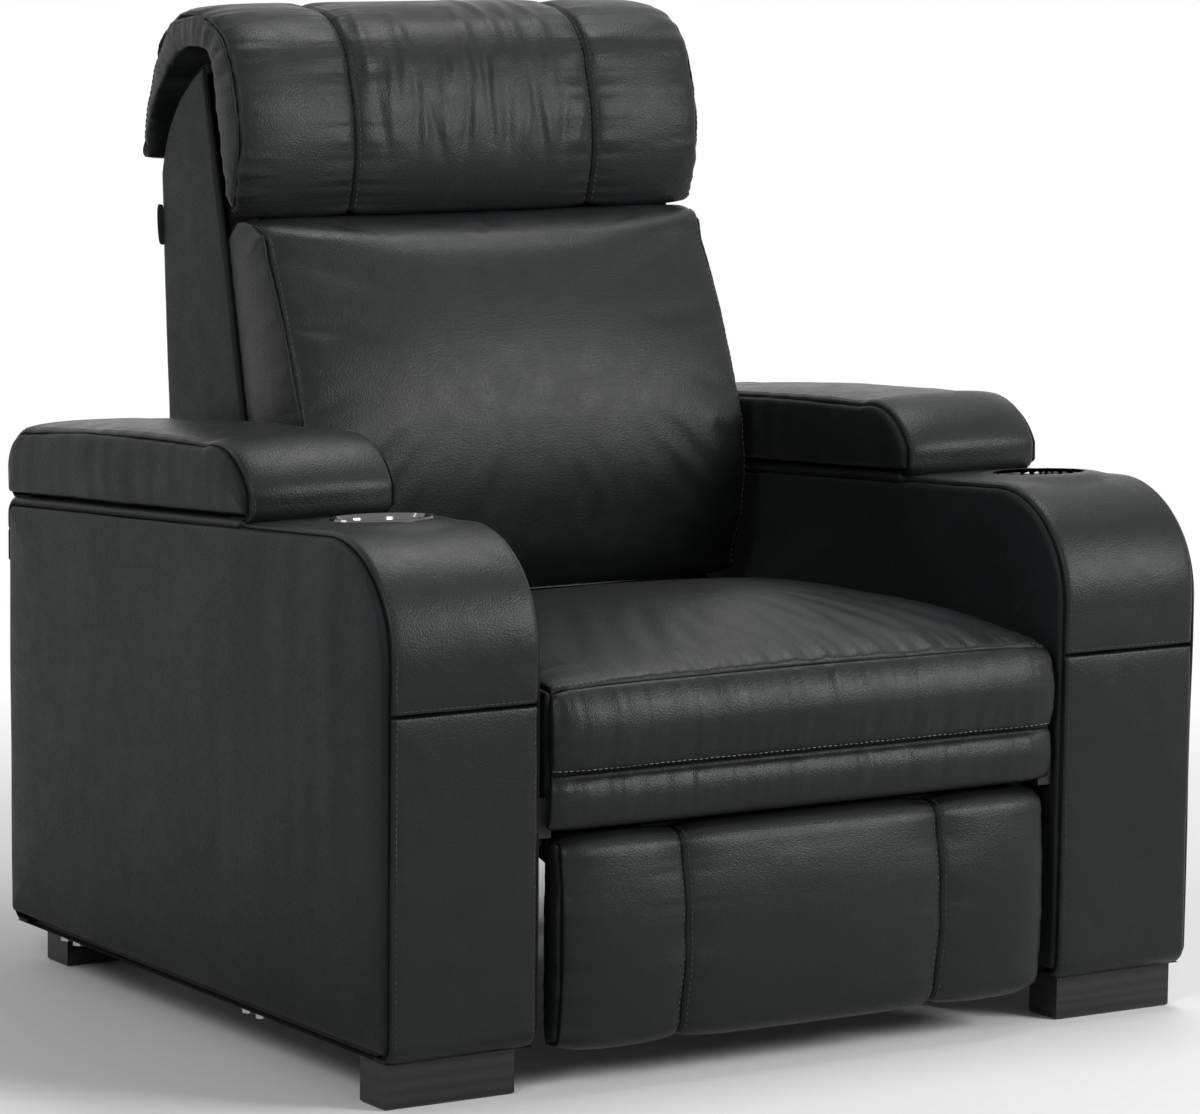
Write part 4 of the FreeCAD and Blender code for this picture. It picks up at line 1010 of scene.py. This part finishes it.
def back_tab():
    """Small folded cloth tab sewn into the rear edge of the back."""
    rows = []
    for z, reach in ((760, 2.0), (762, 4.6), (781, 5.2), (800, 4.6), (803, 2.0)):
        y = 838.0 - (838.0 - 829.5) * (836.0 - z) / 80
        inner, outer = -BACK_HALF + 1.0, -BACK_HALF - reach
        rows += [(inner, y - 3, z), (outer, y - 1, z), (outer, y + 3, z), (inner, y + 4, z)]
    tab = new_object("back_tab", mm(rows), grid_faces(5, 4))
    tab.modifiers.new("Subdivision", "SUBSURF").levels = 2
    apply_modifiers(tab)
    finish_piece(tab, "back", lining)


def soft_piece(name, form, seams, held, body, node, gathers, thread_rows, folds=(), bend=None):
    """Remesh, inflate, subdivide and sew one pad, then put it in its place in the chair."""
    remesh(form, PAD_VOXEL)
    inflate(form, seams, held)
    subdivide(form)
    for lines, height, width in folds:
        fold(form, lines, height, width)
    seams = [projected(form, resample(line, 0.004)) for line in seams]
    sew(form, [points for points, _ in seams], **gathers)

    def sunk(number, offset):
        """The line beside a seam, pulled in as far as the sewn surface there."""
        points, normals = seams[number]
        drop = gathers["pull"] * math.exp(-abs(offset) / gathers["pull_reach"])
        drop += gathers["depth"] * math.exp(-(offset / CREASE_WIDTH) ** 2)
        return beside(points, normals, offset) - normals * drop / 1000

    form.name = name
    finish_piece(form, body, top_leather, bend)
    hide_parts(node)
    seam_cord(f"{name}_seams", form, [sunk(number, 0.0) for number in range(len(seams))], body, bend)
    for label, material, rows in thread_rows:
        stitches(f"{name}_{label}", form, [sunk(*row) for row in rows], body, material, bend)
    return form


def mm(points):
    return to_frame(np.array(points, float))


def double_rows(*numbers):
    """Stitch rows on both sides of these seams."""
    return [(number, offset) for number in numbers for offset in (-5.0, 5.0)]


back_tab()


# Seat cushion
CUSHION_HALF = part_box("seat_cushion")[1].x * 1000
CUSHION_BASE = 292.0
FASCIA_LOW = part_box("seat_cushion")[0].z * 1000
CUSHION_BACK = 533.0
SEAM_LOW = 311.0


def seat_section(x):
    share = x / CUSHION_HALF
    full = rounded(share, 14.0)
    crown = 2 + 25 * (1 - share * share) + 7 * full
    top = 395 + 6 * full
    front = -5 + 6 * (1 - full)
    low = FASCIA_LOW - 6
    return loop((12, CUSHION_BASE), (12, low), (front + 5, low),
                ((front - 5 * full, (low + SEAM_LOW) / 2), (front, SEAM_LOW)),
                ((front - 11 * full, (SEAM_LOW + top) / 2), (front + 6, top)),
                ((front + 60, top + crown * 0.62), (250, top + crown)),
                ((400, top + crown * 0.7), (CUSHION_BACK - 22, top)),
                ((CUSHION_BACK - 6, top - 8), (CUSHION_BACK, top - 28)), (CUSHION_BACK, CUSHION_BASE))


def seat_cushion():
    form = lofted("seat", seat_section, stations(CUSHION_HALF))
    half = CUSHION_HALF - 2
    across = np.linspace(-half, half, 41)
    bow = 1 - (across / CUSHION_HALF) ** 2
    upper = mm([(x, 0, 403 + 5 * b) for x, b in zip(across, bow)])
    lower = mm([(x, 0, SEAM_LOW + 1 * b) for x, b in zip(across, bow)])
    sides = [mm([(s * half, 8, 270), (s * half, 8, 400), (s * half, 60, 405), (s * half, 280, 408),
                 (s * half, 500, 400)]) for s in (-1, 1)]

    def held(p):
        return (p[:, 2] < 300) | (p[:, 1] > CUSHION_BACK - 12)

    gathers = dict(depth=2.8, pull=3.6, pull_reach=12.0, gather=2.2, reach=34.0, pitch=21.0, seed=3)
    rows = [("thread_upper", dark_thread, [(0, 5.0)]), ("thread_lower", light_thread, [(1, 5.0)])]
    soft_piece("seat_upholstery", form, [upper, lower, *sides], held, "base", "seat_cushion",
               gathers, rows)


seat_cushion()


# Back cushion
def back_section(x):
    share = x / BACK_HALF
    full = rounded(share, 9.0)
    give = 15 * (1 - full)
    hollow = 5 * (1 - share * share)
    return loop((611, 402), (552 + give, 402), ((538 + give, 407), (533 + give, 424)),
                ((515 + give - hollow, 520), (528 + give, 600)),
                ((564 + give - hollow, 690), (606 + give, 768)),
                ((613 + give * 0.8, 787), (631 + give * 0.6, 797)), ((654, 799), (678, 794)), (696, 776))


def back_cushion():
    form = lofted("back", back_section, stations(BACK_HALF - 4))
    half = BACK_HALF - 7
    seam = np.array([(548, 410), (534, 440), (528, 520), (541, 600), (575, 690), (609, 766), (618, 786),
                     (640, 794)], float)
    sides = [to_frame(placed(s * half, seam)) for s in (-1, 1)]

    def held(p):
        rear = 600 + (p[:, 2] - 376) * 0.2256
        return (p[:, 1] > rear - 8) | (p[:, 2] < 408)

    gathers = dict(depth=3.0, pull=4.0, pull_reach=18.0, gather=1.5, reach=34.0, pitch=30.0, seed=11)
    rows = [("thread", dark_thread, [(0, -6.0), (1, 6.0)])]
    soft_piece("back_upholstery", form, sides, held, "back", "back_cushion", gathers, rows)


back_cushion()


# Footrest pad
FOOT_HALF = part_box("footrest_pad")[1].x * 1000
FOOT_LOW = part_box("footrest_pad")[0].z * 1000
FOOT_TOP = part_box("footrest_pad")[1].z * 1000
FOOT_BACK = 30.0
FOOT_CHANNEL = FOOT_HALF - 137.0


def foot_section(x):
    full = rounded(x / (FOOT_HALF + 4), 14.0)
    face = -12 + 14 * (1 - full)
    low, top = FOOT_LOW - 4 + 5 * (1 - full), FOOT_TOP - 4 - 3 * (1 - full)
    return loop((FOOT_BACK, low), (face + 20, low), ((face + 5, low + 6), (face - 1, low + 26)),
                ((face - 9 * full - 1, (low + top) / 2), (face - 1, top - 26)),
                ((face + 5, top - 6), (face + 20, top)), (FOOT_BACK, top))


def footrest_pad():
    form = lofted("foot", foot_section, stations(FOOT_HALF + 3))
    channel = np.array([(22, FOOT_LOW), (4, FOOT_LOW + 3), (-12, 80), (-18, 150), (-12, 220),
                        (4, FOOT_TOP - 4), (22, FOOT_TOP - 3)])
    end = np.array([(24, FOOT_LOW + 2), (8, FOOT_LOW + 7), (2, 100), (2, 200), (8, FOOT_TOP - 10),
                    (24, FOOT_TOP - 5)])
    lines = [to_frame(placed(x, channel)) for x in (-FOOT_CHANNEL, FOOT_CHANNEL)]
    lines += [to_frame(placed(x, end)) for x in (-FOOT_HALF, FOOT_HALF)]

    def held(p):
        return p[:, 1] > FOOT_BACK - 9

    gathers = dict(depth=2.8, pull=5.5, pull_reach=20.0, gather=1.7, reach=32.0, pitch=20.0, seed=21)
    rows = [("thread", dark_thread, double_rows(0, 1))]
    soft_piece("footrest_upholstery", form, lines, held, "footrest", "footrest_pad", gathers, rows)


footrest_pad()


# Headrest
HEAD_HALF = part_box("headrest_pad")[1].x * 1000
HEAD_CHANNEL = HEAD_HALF / 2
HEAD_BEND = ("back", at(0, 640, 784), at(0, 660, 826))
HEAD_OUTER = ((668, 801), (655, 806), (641, 880), (654, 948), (684, 999), (736, 1018), (805, 1007),
              (847, 950), (865, 903), (868, 868), (858, 853))
HEAD_BOARD = ((672, 808), (708, 962))
FOLD_COUNT = 24
FOLD_PITCH = 10.6


def head_section(x):
    full = rounded(x / HEAD_HALF, 10.0)
    give = 11 * (1 - full)
    return loop((671, 804), ((662, 796 + give), (653 + give, 803 + give)),
                ((640 + give, 876), (655 + give, 948)),
                ((685 + give, 1000 - give), (736, 1017 - give)), ((805, 1006 - give), (847 - give, 950)),
                ((865 - give, 900), (869 - give * 0.5, 866)), ((862, 850), (847, 852)),
                ((838, 899), (810, 937)), ((771, 969), (724, 973)), ((713, 968), (705, 958)))


def head_folds():
    """Soft wrinkles that run down from the crown of the headrest, uneven in length and lean."""
    def vary(place, row):
        return noise.noise(Vector((place, row, 0)))

    outline = resample(np.array(HEAD_OUTER[1:7], float), 4.0)
    folds = []
    for k in range(FOLD_COUNT):
        x0 = -122 + FOLD_PITCH * k + 7 * vary(k * 1.7, 0.3)
        first = 0.10 + 0.30 * abs(vary(k * 0.83, 3.1)) + (0.22 if k % 3 == 0 else 0)
        last = first + 0.26 + 0.5 * abs(vary(k * 1.3, 6.2))
        t = np.linspace(first, min(last, 0.97), 14)
        place = outline[(t * (len(outline) - 1)).astype(int)]
        lean = 26 * vary(k * 0.61, 9.4)
        x = x0 + lean * (t - first) / (last - first) + 5 * np.sin(t * 9 + k)
        folds.append(mm(np.column_stack([x, place])))
    return folds


def headrest_pad():
    form = lofted("head", head_section, stations(HEAD_HALF - 6))
    outer = np.array(HEAD_OUTER, float)
    lines = [to_frame(placed(x, outer)) for x in (-HEAD_CHANNEL, HEAD_CHANNEL)]
    edge = HEAD_HALF - 9
    inner = outer + (np.array([755, 900]) - outer) * 0.05
    lines += [to_frame(placed(s * edge, inner)) for s in (-1, 1)]

    def held(p):
        (y0, z0), (y1, z1) = HEAD_BOARD
        front = y0 + np.maximum(p[:, 2] - z0, 0) * (y1 - y0) / (z1 - z0)
        near_board = (p[:, 1] > front - 6) & (p[:, 1] < front + 10) & (p[:, 2] < 956)
        inside = (p[:, 1] > 715) & (p[:, 1] < 852) & (np.hypot(p[:, 1] - 735, p[:, 2] - 870) < 108)
        return near_board | inside

    folds = head_folds()
    gathers = dict(depth=2.6, pull=4.6, pull_reach=15.0, gather=2.6, reach=36.0, pitch=19.0, seed=31)
    rows = [("thread", dark_thread, [*double_rows(0, 1), (2, 6.0), (3, -6.0)])]
    soft_piece("headrest_upholstery", form, lines, held, "headrest", "headrest_pad", gathers, rows,
               folds=[(folds[0::3], 2.1, 8.0), (folds[1::3], -1.7, 6.5), (folds[2::3], 1.3, 5.0)],
               bend=HEAD_BEND)


headrest_pad()


# Camera, lights and floor, in the frame's metres
CAMERA_PLACE = at(-3052.0, -4429.8, 1250.9)
CAMERA_YAW = -0.560
CAMERA_PITCH = -0.1577
CAMERA_ROLL = 0.0095
CAMERA_SHIFT = (0.0216, 0.0895)
PALE = (0.86, 0.86, 0.86)


def camera():
    data = bpy.data.cameras.new("camera")
    data.sensor_width = 36.0
    data.lens = 165.87
    data.shift_x, data.shift_y = CAMERA_SHIFT
    data.clip_end = 100.0
    obj = bpy.data.objects.new("camera", data)
    scene.collection.objects.link(obj)
    turn = (Matrix.Rotation(CAMERA_YAW, 4, "Z") @ Matrix.Rotation(math.pi / 2 + CAMERA_PITCH, 4, "X")
            @ Matrix.Rotation(CAMERA_ROLL, 4, "Z"))
    obj.matrix_world = Matrix.Translation(CAMERA_PLACE) @ turn
    scene.camera = obj


def softbox(name, place, target, width, height, radiance):
    """A rectangular lamp that faces its target; radiance is how bright its face looks."""
    data = bpy.data.lights.new(name, "AREA")
    data.shape = "RECTANGLE"
    data.size, data.size_y = width, height
    data.energy = radiance * math.pi * width * height
    obj = bpy.data.objects.new(name, data)
    obj.location = place
    obj.rotation_euler = (Vector(target) - Vector(place)).to_track_quat("-Z", "Y").to_euler()
    scene.collection.objects.link(obj)


def sees_background(tree):
    """1 for the rays that see the white background: camera, glossy and transmission."""
    seen = add(tree, "LightPath").outputs
    first = {0: seen["Is Camera Ray"], 1: seen["Is Glossy Ray"]}
    shown = add(tree, "Math", first, operation="MAXIMUM").outputs[0]
    both = {0: shown, 1: seen["Is Transmission Ray"]}
    return add(tree, "Math", both, operation="MAXIMUM").outputs[0]


def floor():
    """A pale floor that runs out into white around the chair."""
    mesh = bpy.data.meshes.new("floor")
    far = 30
    corners = [(-far, -far, 0), (far, -far, 0), (far, far, 0), (-far, far, 0)]
    mesh.from_pydata(corners, [], [(0, 1, 2, 3)])
    obj = bpy.data.objects.new("floor", mesh)
    scene.collection.objects.link(obj)
    material, tree, bsdf = shader("floor", Roughness=0.7, Specular_IOR_Level=0.2)
    place = add(tree, "TexCoord").outputs["Object"]
    speckle = texture(tree, "TexNoise", place, 60.0, Detail=4.0).outputs["Fac"]
    connect(tree, bsdf, Base_Color=mixed(tree, speckle, scaled(PALE, 0.97), scaled(PALE, 1.03)))
    glow = add(tree, "Emission", {"Color": (1, 1, 1, 1), "Strength": 1.0})
    away = add(tree, "VectorMath", {0: place}, operation="LENGTH").outputs["Value"]
    white = {0: ranged(tree, away, 0.75, 2.0, 0.0, 1.0), 1: sees_background(tree)}
    share = add(tree, "Math", white, operation="MULTIPLY")
    blend = add(tree, "MixShader", {0: share.outputs[0], 1: bsdf.outputs[0], 2: glow.outputs[0]})
    tree.links.new(blend.outputs[0], tree.nodes["Material Output"].inputs["Surface"])
    mesh.materials.append(material)


def world():
    made = bpy.data.worlds.new("world")
    made.use_nodes = True
    tree = made.node_tree
    tree.nodes.clear()
    shown = sees_background(tree)
    air = add(tree, "Background", {"Color": (0.8, 0.8, 0.8, 1), "Strength": 0.30})
    white = add(tree, "Background", {"Color": (1, 1, 1, 1), "Strength": 1.0})
    blend = add(tree, "MixShader", {0: shown, 1: air.outputs[0], 2: white.outputs[0]})
    output = add(tree, "OutputWorld")
    tree.links.new(blend.outputs[0], output.inputs["Surface"])
    scene.world = made


camera()
floor()
world()
softbox("key", (1.9, -2.8, 1.75), (0, 0, 0.6), 1.2, 1.2, 18.0)
softbox("side_key", (-2.7, -2.1, 2.1), (0, 0, 0.6), 0.8, 1.2, 10.0)
softbox("overhead", (0.9, 0.0, 3.0), (0, 0, 0.5), 1.2, 0.8, 11.0)
softbox("rim", (-2.4, 1.9, 2.2), (0, 0, 0.7), 0.7, 1.2, 5.0)
scene.view_settings.view_transform = "Standard"
